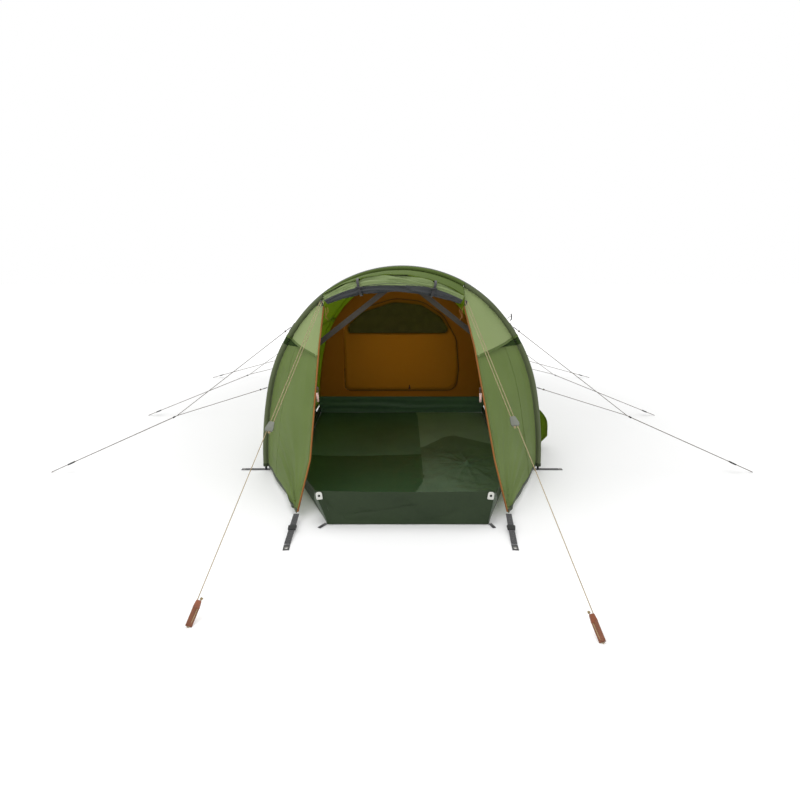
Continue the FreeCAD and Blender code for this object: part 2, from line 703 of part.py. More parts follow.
# ---------------------------------------------------------------- porch groundsheet
Z0 = 0.0
YF, YB = S["front_lip_y"], S["inner_front_y"] - 4
plan = [(-318, YF), (364, YF), (572, -1290), (612, YB), (-612, YB), (-572, -1290)]
floor = Part.Face(Part.Wire(Part.makePolygon([V(x, y, Z0) for x, y in plan + plan[:1]]))).extrude(V(0, 0, S["tray_t"]))
walls = [floor]
wt = S["tray_t"]
for s in (-1, 1):
    xf = 318 if s < 0 else 364
    pts = [(s * xf, YF + 6), (s * 572, -1290), (s * 612, YB)]
    inn = [(s * (xf - wt * 1.1), YF + 6), (s * (572 - wt), -1290 + wt * 0.3), (s * (612 - wt), YB)]
    w = pts + inn[::-1]
    walls.append(Part.Face(Part.Wire(Part.makePolygon([V(x, y, Z0) for x, y in w + w[:1]]))).extrude(V(0, 0, S["porch_wall"])))
feature("porch_groundsheet", walls[0].fuse(walls[1:]).removeSplitter())

# raised front lip, hinged on the groundsheet's front edge
lw, lh, lt = S["lip_half_width"], S["lip_height"], S["lip_t"]
body, sk, pad = sketch_body("groundsheet_lip", "XZ_Plane", rounded([(-316, 0), (362, 0), (lw + 67, lh), (-lw - 47, lh)], 4), "lip_t", False)
place(body, V(0, YF - 1.0, 4.5))
keep(body, "groundsheet_lip")
tabs = []
for s in (-1, 1):
    box = doc.addObject("Part::Box", "lip_tab_%d" % (s + 1))
    box.Length, box.Width, box.Height = 26, 1.6, 36
    place(box, V((lw + 45 if s > 0 else -lw - 25) - 13, YF - 1.0 - lt - 2.2, lh - 34), FreeCAD.Rotation(V(0, 1, 0), 6 * s))
    tabs.append(box)
compound("lip_tabs", tabs)

# ---------------------------------------------------------------- inner tent
I2, I3, I4 = Hoop(S["inner_front_y"], 622, 985), Hoop(H3.y, 535, 765), Hoop(S["rear_arch_y"] - 30, 385, 490)
IT = S["inner_wall_t"]
TW = S["tray_wall"]
c1 = bay(I2, I3, 0, 0, IT, TW + 2, I2.y + 3, I3.y)
c2 = bay(I3, I4, 0, 0, IT, TW + 2, I3.y + 0.4, I4.y)
rearw = arch_plate(I4, 0, TW + 2, I4.y + 0.4, IT)
feature("inner_canopy", Part.makeCompound([c1, c2, rearw]))

# tray: floor with upright walls all round, in plan following the inner tent's hem
zf, zt = 3.0, TW + 1.6
fx = [(I2.x_of_z(TW), I2.y + 1.0), (I3.x_of_z(TW), I3.y), (I4.x_of_z(TW), I4.y + 2)]
outer = [(x, y) for x, y in fx] + [(-x, y) for x, y in reversed(fx)]
k = 2.4
inn = [(fx[0][0] - k, fx[0][1] + k), (fx[1][0] - k, fx[1][1]), (fx[2][0] - k, fx[2][1] - k)]
inner = inn + [(-x, y) for x, y in reversed(inn)]
blk = Part.Face(Part.Wire(Part.makePolygon([V(x, y, zf) for x, y in outer + outer[:1]]))).extrude(V(0, 0, zt - zf))
cav = Part.Face(Part.Wire(Part.makePolygon([V(x, y, zf + S["tray_t"]) for x, y in inner + inner[:1]]))).extrude(V(0, 0, zt))
feature("inner_floor_tray", blk.cut(cav))

# front wall with the D-shaped doorway, the door with its mesh window and its zip slider
ZB = TW + 2.0
DOOR = [(-420, 176), (405, 176), (422, 330), (400, 560), (300, 730), (150, 828), (-50, 850), (-290, 775), (-420, 640)]
DR = [30, 70, 120, 160, 160, 200, 240, 150, 60]


def plate_wire(points, radii, y, grow=0.0):
    """Rounded outline in the XZ plane at y, as a wire."""
    geo = rounded(points, radii)
    edges = []
    for g in geo:
        e = g.toShape()
        edges.append(e)
    w = Part.Wire(Part.__sortEdges__(edges))
    w.rotate(V(0, 0, 0), V(1, 0, 0), 90)
    w.translate(V(0, y, 0))
    if grow:
        w = w.makeOffset2D(grow, 0, False, False, False)
    return w


wall = arch_plate(I2, 1.0, ZB, I2.y, IT)
hole = Part.Face(plate_wire(DOOR, DR, I2.y - 5, 3.0)).extrude(V(0, 20, 0))
feature("inner_front_wall", wall.cut(hole))

door_y = I2.y - 1.0
WIN = [(-378, 600), (352, 600), (270, 712), (140, 796), (-48, 818), (-275, 744), (-378, 652)]
WR = [20, 30, 60, 120, 160, 80, 30]
panel = Part.Face(plate_wire(DOOR, DR, door_y, 0)).extrude(V(0, 1.8, 0))
win = Part.Face(plate_wire(WIN, WR, door_y - 5, 0)).extrude(V(0, 20, 0))
feature("inner_door", panel.cut(win))
feature("inner_door_mesh", Part.Face(plate_wire(WIN, WR, door_y + 0.3, -0.4)).extrude(V(0, 1.0, 0)))
body, sk, pad = sketch_body("inner_zip_slider", "XZ_Plane", rounded([(-8, -4), (8, -4), (8, 4), (-8, 4)], 1.5), "zip_t", False)
pull = body.newObject("Sketcher::SketchObject", "inner_pull")
org = [f for f in body.Origin.OriginFeatures if f.Role == "XZ_Plane"][0]
pull.AttachmentSupport = [(org, "")]
pull.MapMode = "FlatFace"
pull.addGeometry(rounded([(-6, 3), (6, 3), (4, 26), (-4, 26)], 1.5), False)
pp = body.newObject("PartDesign::Pad", "inner_pullpad")
pp.Profile = pull
bind(pp, Length="pull_t")
pull.Visibility = False
place(body, V(60, door_y - 1.0, 190))
keep(body, "inner_zip_slider")

# hangers between the canopy and the flysheet, at the two rear hoops
hang = []
for hp, ii in ((H2, I2), (H3, I3)):
    for phi in (-1.05, -0.6, 0.0, 0.6, 1.05):
        yh = hp.y + (26 if hp is H2 else -20)
        f = (yh - H2.y) / (H3.y - H2.y)
        a = lerp(H2.pt(phi, FLY_D + T + 2.5, yh), H3.pt(phi, FLY_D + T + 2.5, yh), f)
        f = (yh - I2.y) / (I3.y - I2.y)
        b = lerp(I2.pt(phi, -2.0, yh), I3.pt(phi, -2.0, yh), f)
        d = b - a
        box = doc.addObject("Part::Box", "hanger_%d" % len(hang))
        box.Length, box.Width, box.Height = 12, 1.6, max(6.0, d.Length)
        rot = frame_of(d, V(0, 1, 0))
        place(box, a + rot.multVec(V(-6, -0.8, 0)), rot)
        hang.append(box)
compound("inner_hangers", hang)


# ---------------------------------------------------------------- guy lines
def cord_tube(points, radius, tight=()):
    """Tube of straight runs joined by tangent arcs. tight maps a point's index to its arc radius."""
    pts = [V(*p) if not isinstance(p, V) else p for p in points]
    tight = dict(tight)
    edges, prev, radii = [], pts[0], []
    for k in range(1, len(pts) - 1):
        u, w = (pts[k - 1] - pts[k]), (pts[k + 1] - pts[k])
        lu, lw_ = u.Length, w.Length
        u.normalize()
        w.normalize()
        turn = math.pi - math.acos(max(-1, min(1, u.dot(w))))
        r = tight.get(k, 0.45 * min(lu, lw_) / math.tan(turn / 2))
        t = r * math.tan(turn / 2)
        p, q = pts[k] + u * t, pts[k] + w * t
        bis = (u + w).normalize()
        cen = pts[k] + bis * (r / math.cos(turn / 2))
        mid = cen - bis * r
        edges.append(Part.LineSegment(prev, p).toShape())
        edges.append(Part.Arc(p, mid, q).toShape())
        radii.append(r)
        prev = q
    edges.append(Part.LineSegment(prev, pts[-1]).toShape())
    wire = Part.Wire(edges)
    prof = Part.Wire(Part.Circle(pts[0], (pts[1] - pts[0]).normalize(), radius).toShape())
    solid = wire.makePipeShell([prof], True, True, 1)
    want = math.pi * radius ** 2 * wire.Length
    print("cord length %.1f  volume ratio %.4f  radii %s" % (wire.Length, solid.Volume / want, [round(r, 1) for r in radii]))
    return solid


def plate_on_line(label, pos, d, spread, outline, thick, holes, length):
    """Flat plate in line with a cord: local Z along the cord d, local X along spread, cord holes through its length."""
    body, sk, pad = sketch_body(label, "XZ_Plane", outline, thick)
    add_pocket(body, label + "_holes", "XY_Plane", [circle(x, 0, S["cord_hole"] / 2) for x in holes])
    place(body, pos, frame_of(d, spread))
    return body


CR = S["cord_dia"] / 2
HG = S["strand_gap"] / 2
tabs, rings = [], []
ROWS = [  # hoop, tab heights, joining ring (x, z), peg x, peg y, tensioner's place along the doubled part, name
    (H1, 770, 455, (1185, 307), (1875, H1.y - 44), 0.84, "front"),
    (H2, 720, 420, (1120, 300), (1875, H1.y + 1090), 0.90, "middle"),
    (H3, 600, 350, (1000, 240), (1875, H1.y + 2495), 0.90, "rear"),
]
GUY, LINE = {}, {}
for hoop, zu, zl, (rx, rz), (px, py), ft, row in ROWS:
    for s, side in ((-1, "left"), (1, "right")):
        ends = []
        ring = V(s * rx, hoop.y + (-20 if row == "front" else -10), rz)
        peg = V(s * px, py, CR + 0.6)
        for z in (zu, zl):
            ph = hoop.phi_of_z(z, 0)
            p = hoop.pt(s * ph, 0)
            nrm = V(s * math.sin(ph), 0, math.cos(ph))
            d = (ring - p).normalize()
            start = p + nrm * 3.0 + d * 2.0
            d = (ring - start).normalize()
            box = doc.addObject("Part::Box", "tab_%d" % len(tabs))
            bind(box, Length="tab_w", Width="tab_t", Height="tab_len")
            rot = frame_of(d, V(0, 1, 0))
            place(box, start + rot.multVec(V(-S["tab_w"] / 2, -S["tab_t"] / 2, 0)), rot)
            tabs.append(box)
            ends.append(start + d * S["tab_len"])
        dd = (peg - ring).normalize()
        side_v = V(0, 1, 0) - dd * dd.y
        side_v.normalize()
        A = side_v * HG
        route = [ends[0], ring - A, peg - A, peg + A, ring + A, ends[1]]
        t1 = ((ring - A) - ends[0]).normalize()
        name = "guy_cord_%s_%s" % (side, row)
        GUY[name] = route
        feature(name, cord_tube(route, CR, {1: 20.0, 2: 5.4, 3: 5.4, 4: 20.0}))
        w, l = S["ring_w"] / 2, S["ring_len"] / 2
        rings.append(plate_on_line("ring_%s_%s" % (side, row), ring + dd * 16, dd, side_v, rounded([(-w, -l), (w, -l), (w, l), (-w, l)], 3.0), "ring_t", (-HG, HG), 0))
        w, l = S["slider_w"] / 2, S["slider_len"] / 2
        ten = plate_on_line("tensioner_%s_%s" % (side, row), ring + (peg - ring) * ft, dd, side_v,
                            rounded([(-w, -l), (w, -l), (w, l * 0.2), (w * 0.82, l), (-w * 0.82, l), (-w, l * 0.2)], 2.5), "slider_t", (-HG, HG), 0)
        keep(ten, "tensioner_%s_%s" % (side, row))
        LINE["tensioner_%s_%s" % (side, row)] = (ring, peg, ft)
        print(name, "dir", [round(c, 5) for c in dd], "tensioner", [round(c, 1) for c in ring + (peg - ring) * ft], "double", round((peg - ring).Length, 1))

# front guys
fits = []
for s, side in ((-1, "left"), (1, "right")):
    C = V(s * 352 - LEAN, -1322, 905)
    E = V(-655, H1.y - 1316, CR + 0.6) if s < 0 else V(580, H1.y - 1387, CR + 0.6)
    d = (E - C).normalize()
    side_v = V(1, 0, 0) - d * d.x
    side_v.normalize()
    side_v = side_v * s
    A = side_v * HG
    L = (E - C).Length
    st, sf = (0.50 if s < 0 else 0.475) * L, 0.955 * L
    ten, fit = C + d * st, C + d * sf
    name = "front_guy_cord_" + side
    route = [ten - A + d * (S["tri_len"] / 2 + 5), C - A, C + A, E + A, E - A, fit - A - d * (S["fit_len"] / 2 + 5)]
    GUY[name] = route
    feature(name, cord_tube(route, CR, {1: 5.4, 2: 5.4, 3: 5.4, 4: 5.4}))
    w, l = S["tri_w"] / 2, S["tri_len"] / 2
    t = plate_on_line("front_tensioner_" + side, ten, d, side_v, rounded([(-w * 0.62, -l), (w * 0.62, -l), (w, l * 0.55), (w * 0.8, l), (-w * 0.8, l), (-w, l * 0.55)], 3.0), "tri_t", (-HG, HG), 0)
    keep(t, "front_tensioner_" + side)
    LINE["front_tensioner_" + side] = (C, E, st / L)
    w, l = S["fit_w"] / 2, S["fit_len"] / 2
    fits.append(plate_on_line("peg_fit_" + side, fit, d, side_v, rounded([(-w * 0.7, -l), (w * 0.7, -l), (w, l), (-w, l)], 3.0), "fit_t", (-HG, HG), 0))
    print(name, "dir", [round(c, 5) for c in d], "tensioner", [round(c, 1) for c in ten], "len", round(L, 1))
    # loop of webbing at the door's top corner: a small bar inside the cord's turn
    bar = doc.addObject("Part::Cylinder", "corner_bar_" + side)
    bar.Radius, bar.Height = 3.2, 16
    nrm = d.cross(side_v).normalize()
    place(bar, C + d * 5.4 - nrm * 8, frame_of(nrm, side_v))
    tabs.append(bar)
compound("guy_tabs", tabs)
compound("guy_rings", rings)
compound("front_guy_peg_fittings", fits)

doc.recompute()

# ---------------------------------------------------------------- check and write
bad = []
for o in doc.Objects:
    if any(f in o.State for f in ("Invalid", "Error")):
        bad.append((o.Name, o.Label, list(o.State)))
for o in NODES:
    sh = o.Shape
    if sh.isNull() or not sh.isValid() or sh.Volume <= 0 or not sh.Solids:
        bad.append((o.Label, "null or invalid shape", None if sh.isNull() else sh.Volume))
if len({o.Label for o in NODES}) != len(NODES):
    bad.append("labels repeat")
if len(NODES) > 60:
    bad.append("too many nodes: %d" % len(NODES))
if bad:
    raise RuntimeError("not built: %s" % bad)
os.makedirs("parts", exist_ok=True)
for old in os.listdir("parts"):
    if old.endswith(".step"):
        os.remove(os.path.join("parts", old))
for o in NODES:
    o.Shape.exportStep(os.path.join("parts", o.Label + ".step"))
print("nodes", len(NODES))
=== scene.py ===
import math

import bpy
import numpy as np
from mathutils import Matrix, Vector, noise


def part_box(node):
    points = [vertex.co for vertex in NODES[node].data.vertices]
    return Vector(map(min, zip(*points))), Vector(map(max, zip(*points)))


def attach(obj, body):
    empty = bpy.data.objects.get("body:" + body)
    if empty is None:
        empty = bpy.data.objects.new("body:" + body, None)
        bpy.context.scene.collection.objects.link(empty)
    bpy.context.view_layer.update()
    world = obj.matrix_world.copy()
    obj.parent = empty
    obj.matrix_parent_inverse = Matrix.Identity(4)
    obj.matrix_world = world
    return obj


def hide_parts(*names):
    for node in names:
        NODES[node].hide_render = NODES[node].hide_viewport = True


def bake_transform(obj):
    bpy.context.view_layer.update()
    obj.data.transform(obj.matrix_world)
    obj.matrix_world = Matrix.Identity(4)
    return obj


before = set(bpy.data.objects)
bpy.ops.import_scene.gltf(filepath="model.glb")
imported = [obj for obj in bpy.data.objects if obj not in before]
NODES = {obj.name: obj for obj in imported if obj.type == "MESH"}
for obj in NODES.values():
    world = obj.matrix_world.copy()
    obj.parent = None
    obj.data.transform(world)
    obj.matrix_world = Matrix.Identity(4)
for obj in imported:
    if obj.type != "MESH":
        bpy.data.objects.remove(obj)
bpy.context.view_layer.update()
scene = bpy.context.scene
V = Vector


# ------------------------------------------------------------------ camera
cam_data = bpy.data.cameras.new("camera")
cam_data.lens, cam_data.sensor_width, cam_data.clip_end = 24.0, 36.0, 60.0
cam = bpy.data.objects.new("camera", cam_data)
scene.collection.objects.link(cam)
cam.location = (-0.011, -3.958, 1.062)
cam.rotation_euler = (math.radians(90 - 13.9), 0, 0)
scene.camera = cam


# ------------------------------------------------------------------ materials
def mat_new(name):
    m = bpy.data.materials.new(name)
    m.use_nodes = True
    nt = m.node_tree
    nt.nodes.clear()
    out = nt.nodes.new("ShaderNodeOutputMaterial")
    bs = nt.nodes.new("ShaderNodeBsdfPrincipled")
    nt.links.new(bs.outputs[0], out.inputs[0])
    return m, nt, bs, out


def tex_coord(nt, uv):
    tc = nt.nodes.new("ShaderNodeTexCoord")
    return tc.outputs["UV" if uv else "Object"]


def ramp(nt, src, stops):
    r = nt.nodes.new("ShaderNodeValToRGB")
    els = r.color_ramp.elements
    while len(els) < len(stops):
        els.new(0.5)
    for e, (p, c) in zip(els, stops):
        e.position, e.color = p, (*c, 1.0)
    nt.links.new(src, r.inputs[0])
    return r.outputs[0]


def math_node(nt, op, a, b=None):
    n = nt.nodes.new("ShaderNodeMath")
    n.operation = op
    for k, v in enumerate((a, b)):
        if v is None:
            continue
        if isinstance(v, (int, float)):
            n.inputs[k].default_value = v
        else:
            nt.links.new(v, n.inputs[k])
    return n.outputs[0]


def noise_node(nt, vec, scale, detail=3.0, rough=0.5):
    n = nt.nodes.new("ShaderNodeTexNoise")
    n.inputs["Scale"].default_value = scale
    n.inputs["Detail"].default_value = detail
    n.inputs["Roughness"].default_value = rough
    nt.links.new(vec, n.inputs["Vector"])
    return n.outputs["Fac"]


def wave_node(nt, vec, scale, direction="X", profile="SIN", dist=0.0):
    n = nt.nodes.new("ShaderNodeTexWave")
    n.wave_type, n.bands_direction, n.wave_profile = "BANDS", direction, profile
    n.inputs["Scale"].default_value = scale
    n.inputs["Distortion"].default_value = dist
    n.inputs["Detail"].default_value = 1.0
    nt.links.new(vec, n.inputs["Vector"])
    return n.outputs["Fac"]


def fabric(name, dark, light, rough=0.5, uv=True, ripstop=0.0, thread=900.0, bump=0.25, crumple=0.0, crumple_scale=9.0,
           through=0.0, through_color=None, sheen=0.25, coat=0.0, dirt=0.35, alpha=None, spec=0.45):
    """Woven cloth: fine threads, optional ripstop grid, soft crumple, colour that varies, light that comes through."""
    m, nt, bs, out = mat_new(name)
    vec = tex_coord(nt, uv)
    obj = tex_coord(nt, False)
    big = noise_node(nt, obj, 3.2, 4.0, 0.55)
    small = noise_node(nt, obj, 46.0, 3.0, 0.6)
    mixf = math_node(nt, "ADD", math_node(nt, "MULTIPLY", big, 1.0 - dirt * 0.4), math_node(nt, "MULTIPLY", small, dirt * 0.4))
    col = ramp(nt, mixf, [(0.30, dark), (0.70, light)])
    wx = wave_node(nt, vec, thread, "X")
    wy = wave_node(nt, vec, thread, "Y")
    weave = math_node(nt, "MAXIMUM", wx, wy)
    h = math_node(nt, "MULTIPLY", weave, 0.35)
    if ripstop:
        gx = wave_node(nt, vec, ripstop, "X")
        gy = wave_node(nt, vec, ripstop, "Y")
        grid = math_node(nt, "MAXIMUM", math_node(nt, "POWER", gx, 14.0), math_node(nt, "POWER", gy, 14.0))
        h = math_node(nt, "ADD", h, math_node(nt, "MULTIPLY", grid, 0.55))
        mx = nt.nodes.new("ShaderNodeMix")
        mx.data_type = "RGBA"
        mx.inputs[7].default_value = (*[min(1.0, c * 1.22 + 0.004) for c in light], 1)
        nt.links.new(math_node(nt, "MULTIPLY", grid, 0.30), mx.inputs[0])
        nt.links.new(col, mx.inputs[6])
        col = mx.outputs[2]
    if crumple:
        c1 = noise_node(nt, obj, crumple_scale, 5.0, 0.62)
        ridged = math_node(nt, "ABSOLUTE", math_node(nt, "SUBTRACT", c1, 0.5))
        h = math_node(nt, "ADD", h, math_node(nt, "MULTIPLY", ridged, -crumple * 6.0))
    bp = nt.nodes.new("ShaderNodeBump")
    bp.inputs["Strength"].default_value = bump
    bp.inputs["Distance"].default_value = 0.0012
    nt.links.new(h, bp.inputs["Height"])
    nt.links.new(bp.outputs[0], bs.inputs["Normal"])
    nt.links.new(col, bs.inputs["Base Color"])
    rr = math_node(nt, "ADD", math_node(nt, "MULTIPLY", small, 0.16), rough - 0.08)
    nt.links.new(rr, bs.inputs["Roughness"])
    bs.inputs["Sheen Weight"].default_value = sheen
    bs.inputs["Sheen Roughness"].default_value = 0.45
    bs.inputs["Specular IOR Level"].default_value = spec
    if coat:
        bs.inputs["Coat Weight"].default_value = coat
        bs.inputs["Coat Roughness"].default_value = 0.28
    if through:
        tr = nt.nodes.new("ShaderNodeBsdfTranslucent")
        tr.inputs["Color"].default_value = (*(through_color or light), 1)
        ms = nt.nodes.new("ShaderNodeMixShader")
        ms.inputs[0].default_value = through
        nt.links.new(bs.outputs[0], ms.inputs[1])
        nt.links.new(tr.outputs[0], ms.inputs[2])
        nt.links.new(ms.outputs[0], out.inputs[0])
    return m


def netting(name, color, hole=0.5, scale=420.0, rough=0.8):
    """Fine mesh: threads with see-through gaps."""
    m, nt, bs, out = mat_new(name)
    vec = tex_coord(nt, True)
    wx, wy = wave_node(nt, vec, scale, "X"), wave_node(nt, vec, scale, "Y")
    grid = math_node(nt, "MAXIMUM", wx, wy)
    a = ramp(nt, grid, [(hole - 0.08, (0.55, 0.55, 0.55)), (hole + 0.12, (1, 1, 1))])
    nt.links.new(a, bs.inputs["Alpha"])
    var = noise_node(nt, tex_coord(nt, False), 20.0, 3.0)
    col = ramp(nt, var, [(0.3, [c * 0.75 for c in color]), (0.7, color)])
    nt.links.new(col, bs.inputs["Base Color"])
    bs.inputs["Roughness"].default_value = rough
    bp = nt.nodes.new("ShaderNodeBump")
    bp.inputs["Strength"].default_value = 0.4
    bp.inputs["Distance"].default_value = 0.0005
    nt.links.new(grid, bp.inputs["Height"])
    nt.links.new(bp.outputs[0], bs.inputs["Normal"])
    return m


def webbing(name, dark, light, scale=260.0, rough=0.62):
    """Woven tape: chevron ribs across the width."""
    m, nt, bs, out = mat_new(name)
    vec = tex_coord(nt, False)
    w1 = wave_node(nt, vec, scale, "DIAGONAL", "SIN")
    w2 = wave_node(nt, vec, scale * 0.82, "Z", "SIN")
    h = math_node(nt, "MAXIMUM", w1, w2)
    n = noise_node(nt, vec, 60.0, 4.0)
    col = ramp(nt, math_node(nt, "ADD", math_node(nt, "MULTIPLY", h, 0.5), math_node(nt, "MULTIPLY", n, 0.5)), [(0.25, dark), (0.8, light)])
    nt.links.new(col, bs.inputs["Base Color"])
    bs.inputs["Roughness"].default_value = rough
    bs.inputs["Sheen Weight"].default_value = 0.3
    bp = nt.nodes.new("ShaderNodeBump")
    bp.inputs["Strength"].default_value = 0.6
    bp.inputs["Distance"].default_value = 0.0006
    nt.links.new(h, bp.inputs["Height"])
    nt.links.new(bp.outputs[0], bs.inputs["Normal"])
    return m


def hard(name, color, rough=0.45, metallic=0.0, grain=300.0, bump=0.15, var=0.25, stretch=None):
    """Moulded plastic or metal: fine grain, handling marks."""
    m, nt, bs, out = mat_new(name)
    vec = tex_coord(nt, False)
    if stretch:
        mp = nt.nodes.new("ShaderNodeMapping")
        mp.inputs["Scale"].default_value = stretch
        nt.links.new(vec, mp.inputs[0])
        vec = mp.outputs[0]
    n = noise_node(nt, vec, grain, 3.0, 0.6)
    w = noise_node(nt, vec, grain / 14.0, 4.0, 0.6)
    col = ramp(nt, w, [(0.3, [c * (1 - var) for c in color]), (0.7, [min(1, c * (1 + var)) for c in color])])
    nt.links.new(col, bs.inputs["Base Color"])
    nt.links.new(math_node(nt, "ADD", math_node(nt, "MULTIPLY", w, 0.22), rough - 0.1), bs.inputs["Roughness"])
    bs.inputs["Metallic"].default_value = metallic
    bp = nt.nodes.new("ShaderNodeBump")
    bp.inputs["Strength"].default_value = bump
    bp.inputs["Distance"].default_value = 0.0004
    nt.links.new(n, bp.inputs["Height"])
    nt.links.new(bp.outputs[0], bs.inputs["Normal"])
    return m


def braid(name, dark, light, scale=520.0):
    m, nt, bs, out = mat_new(name)
    vec = tex_coord(nt, False)
    w1 = wave_node(nt, vec, scale, "DIAGONAL", "SIN", 1.5)
    n = noise_node(nt, vec, 160.0, 3.0)
    fac = math_node(nt, "ADD", math_node(nt, "MULTIPLY", w1, 0.6), math_node(nt, "MULTIPLY", n, 0.4))
    nt.links.new(ramp(nt, fac, [(0.25, dark), (0.75, light)]), bs.inputs["Base Color"])
    bs.inputs["Roughness"].default_value = 0.7
    bs.inputs["Sheen Weight"].default_value = 0.3
    bp = nt.nodes.new("ShaderNodeBump")
    bp.inputs["Strength"].default_value = 0.7
    bp.inputs["Distance"].default_value = 0.0005
    nt.links.new(w1, bp.inputs["Height"])
    nt.links.new(bp.outputs[0], bs.inputs["Normal"])
    return m


M = {}
M["fly"] = fabric("fly_cloth", (0.172, 0.238, 0.070), (0.238, 0.318, 0.105), rough=0.50, ripstop=40.0, through=0.5, through_color=(0.38, 0.50, 0.09), sheen=0.06, crumple=0.05, crumple_scale=4.0, spec=0.22)
M["fly_in"] = fabric("fly_inner_face", (0.20, 0.27, 0.03), (0.26, 0.34, 0.045), rough=0.55, ripstop=40.0, through=0.5, through_color=(0.42, 0.55, 0.06), sheen=0.03, spec=0.12)
# darker copy of the flysheet cloth: painted shade, used for the rear wall, the cowl, the seam tapes and the hood lips
M["side"] = fabric("fly_side_cloth", (0.120, 0.175, 0.048), (0.165, 0.230, 0.070), rough=0.50, ripstop=40.0, through=0.45, through_color=(0.30, 0.42, 0.08), sheen=0.05, crumple=0.05, crumple_scale=4.0, spec=0.2)
# lighter copy of the flysheet cloth: painted light on the hoods, which face up
M["hood"] = fabric("hood_cloth", (0.330, 0.420, 0.175), (0.420, 0.510, 0.225), rough=0.48, ripstop=40.0, through=0.45, through_color=(0.42, 0.55, 0.15), sheen=0.08, spec=0.25)
M["roll"] = fabric("door_cloth", (0.135, 0.185, 0.068), (0.215, 0.280, 0.110), rough=0.48, ripstop=40.0, sheen=0.10, spec=0.3)
# darker copy of the flysheet cloth: painted shade on the brow above the rolled door
M["brow"] = fabric("brow_cloth", (0.070, 0.104, 0.026), (0.105, 0.150, 0.040), rough=0.6, ripstop=40.0, sheen=0.0, spec=0.06)
M["edge"] = fabric("sleeve_cover_cloth", (0.070, 0.088, 0.040), (0.105, 0.128, 0.062), rough=0.5, ripstop=40.0, crumple=0.15, crumple_scale=20.0, sheen=0.05, spec=0.2)
# dark strip for the gaps under the hoods: painted shadow, not a cloth of the tent
M["vent"] = fabric("vent_shade_mesh", (0.020, 0.036, 0.010), (0.032, 0.055, 0.016), rough=0.8, uv=False, thread=700.0, sheen=0.0, spec=0.04)
M["sleeve"] = fabric("sleeve_cloth", (0.030, 0.038, 0.030), (0.062, 0.074, 0.060), rough=0.38, ripstop=0.0, sheen=0.35, crumple=0.25, crumple_scale=26.0, bump=0.5, spec=0.5)
M["lining"] = fabric("door_lining", (0.028, 0.031, 0.033), (0.050, 0.054, 0.058), rough=0.5, sheen=0.15, spec=0.3)
M["tray"] = fabric("groundsheet_cloth", (0.078, 0.140, 0.085), (0.105, 0.185, 0.112), rough=0.34, crumple=0.18, crumple_scale=7.0, bump=0.4, coat=0.10, sheen=0.0, spec=0.20)
# the floor's parts between its fold creases are copies of one groundsheet cloth at different brightness: painted shade
# on the left front (tray_mid), painted reflection on the rumpled right front (tray_lit), painted light on the right
# rear (tray_rear)
M["tray_mid"] = fabric("groundsheet_front_cloth", (0.028, 0.064, 0.027), (0.040, 0.086, 0.037), rough=0.36, crumple=0.18, crumple_scale=7.0, bump=0.4, coat=0.10, sheen=0.0, spec=0.20)
M["tray_lit"] = fabric("groundsheet_rumpled_painted_reflection", (0.085, 0.130, 0.080), (0.120, 0.175, 0.108), rough=0.34, crumple=0.30, crumple_scale=8.0, bump=0.6, coat=0.12, sheen=0.0, spec=0.25)
M["lip"] = fabric("groundsheet_lip_cloth", (0.015, 0.029, 0.0095), (0.023, 0.041, 0.0140), rough=0.34, crumple=0.25, crumple_scale=9.0, bump=0.5, coat=0.10, sheen=0.0, spec=0.20)
# pale face of the groundsheet cloth for the front of the inner floor's wall, whose back face is the plain groundsheet:
# painted reflection on its glossy folds
M["tub"] = fabric("inner_tub_cloth", (0.240, 0.240, 0.120), (0.500, 0.470, 0.250), rough=0.30, crumple=0.35, crumple_scale=7.0, bump=0.6, coat=0.15, sheen=0.0, spec=0.35)
M["tray_rear"] = fabric("groundsheet_right_rear_painted_light", (0.225, 0.285, 0.215), (0.290, 0.365, 0.280), rough=0.34, crumple=0.25, crumple_scale=8.0, bump=0.5, coat=0.10, sheen=0.0, spec=0.20)
M["tray_side"] = fabric("groundsheet_wall_cloth", (0.045, 0.066, 0.042), (0.080, 0.108, 0.068), rough=0.36, crumple=0.22, crumple_scale=9.0, bump=0.45, coat=0.10, sheen=0.0, spec=0.20)
# the door's cloth (inner) is a lighter copy of the inner cloth and the front wall's (inner_wall) a darker one: painted
# light on the doorway's middle, painted shade at its sides
M["inner"] = fabric("inner_cloth", (0.54, 0.30, 0.075), (0.66, 0.38, 0.100), rough=0.65, ripstop=45.0, through=0.55, through_color=(0.78, 0.46, 0.10), sheen=0.05, bump=0.2, spec=0.1)
M["inner_wall"] = fabric("inner_front_wall_cloth", (0.33, 0.145, 0.030), (0.42, 0.190, 0.042), rough=0.65, ripstop=45.0, through=0.5, through_color=(0.70, 0.34, 0.06), sheen=0.05, bump=0.2, spec=0.1)
M["inner_side"] = fabric("inner_side_cloth", (0.30, 0.150, 0.030), (0.38, 0.195, 0.040), rough=0.65, ripstop=45.0, through=0.55, through_color=(0.66, 0.46, 0.07), sheen=0.05, bump=0.2, spec=0.1)
M["mesh"] = netting("dark_mesh", (0.012, 0.014, 0.012))
M["door_mesh"] = netting("door_mesh", (0.155, 0.112, 0.028), hole=0.45)
M["web"] = webbing("black_webbing", (0.008, 0.008, 0.009), (0.030, 0.030, 0.033))
M["grey_web"] = webbing("grey_webbing", (0.026, 0.020, 0.013), (0.062, 0.050, 0.036), 240.0)
M["white"] = fabric("white_tape", (0.52, 0.52, 0.48), (0.66, 0.66, 0.62), rough=0.6, uv=False, thread=500.0)
M["tape"] = fabric("zip_tape", (0.22, 0.075, 0.014), (0.33, 0.125, 0.024), rough=0.6, uv=False, thread=600.0, sheen=0.1, spec=0.2)
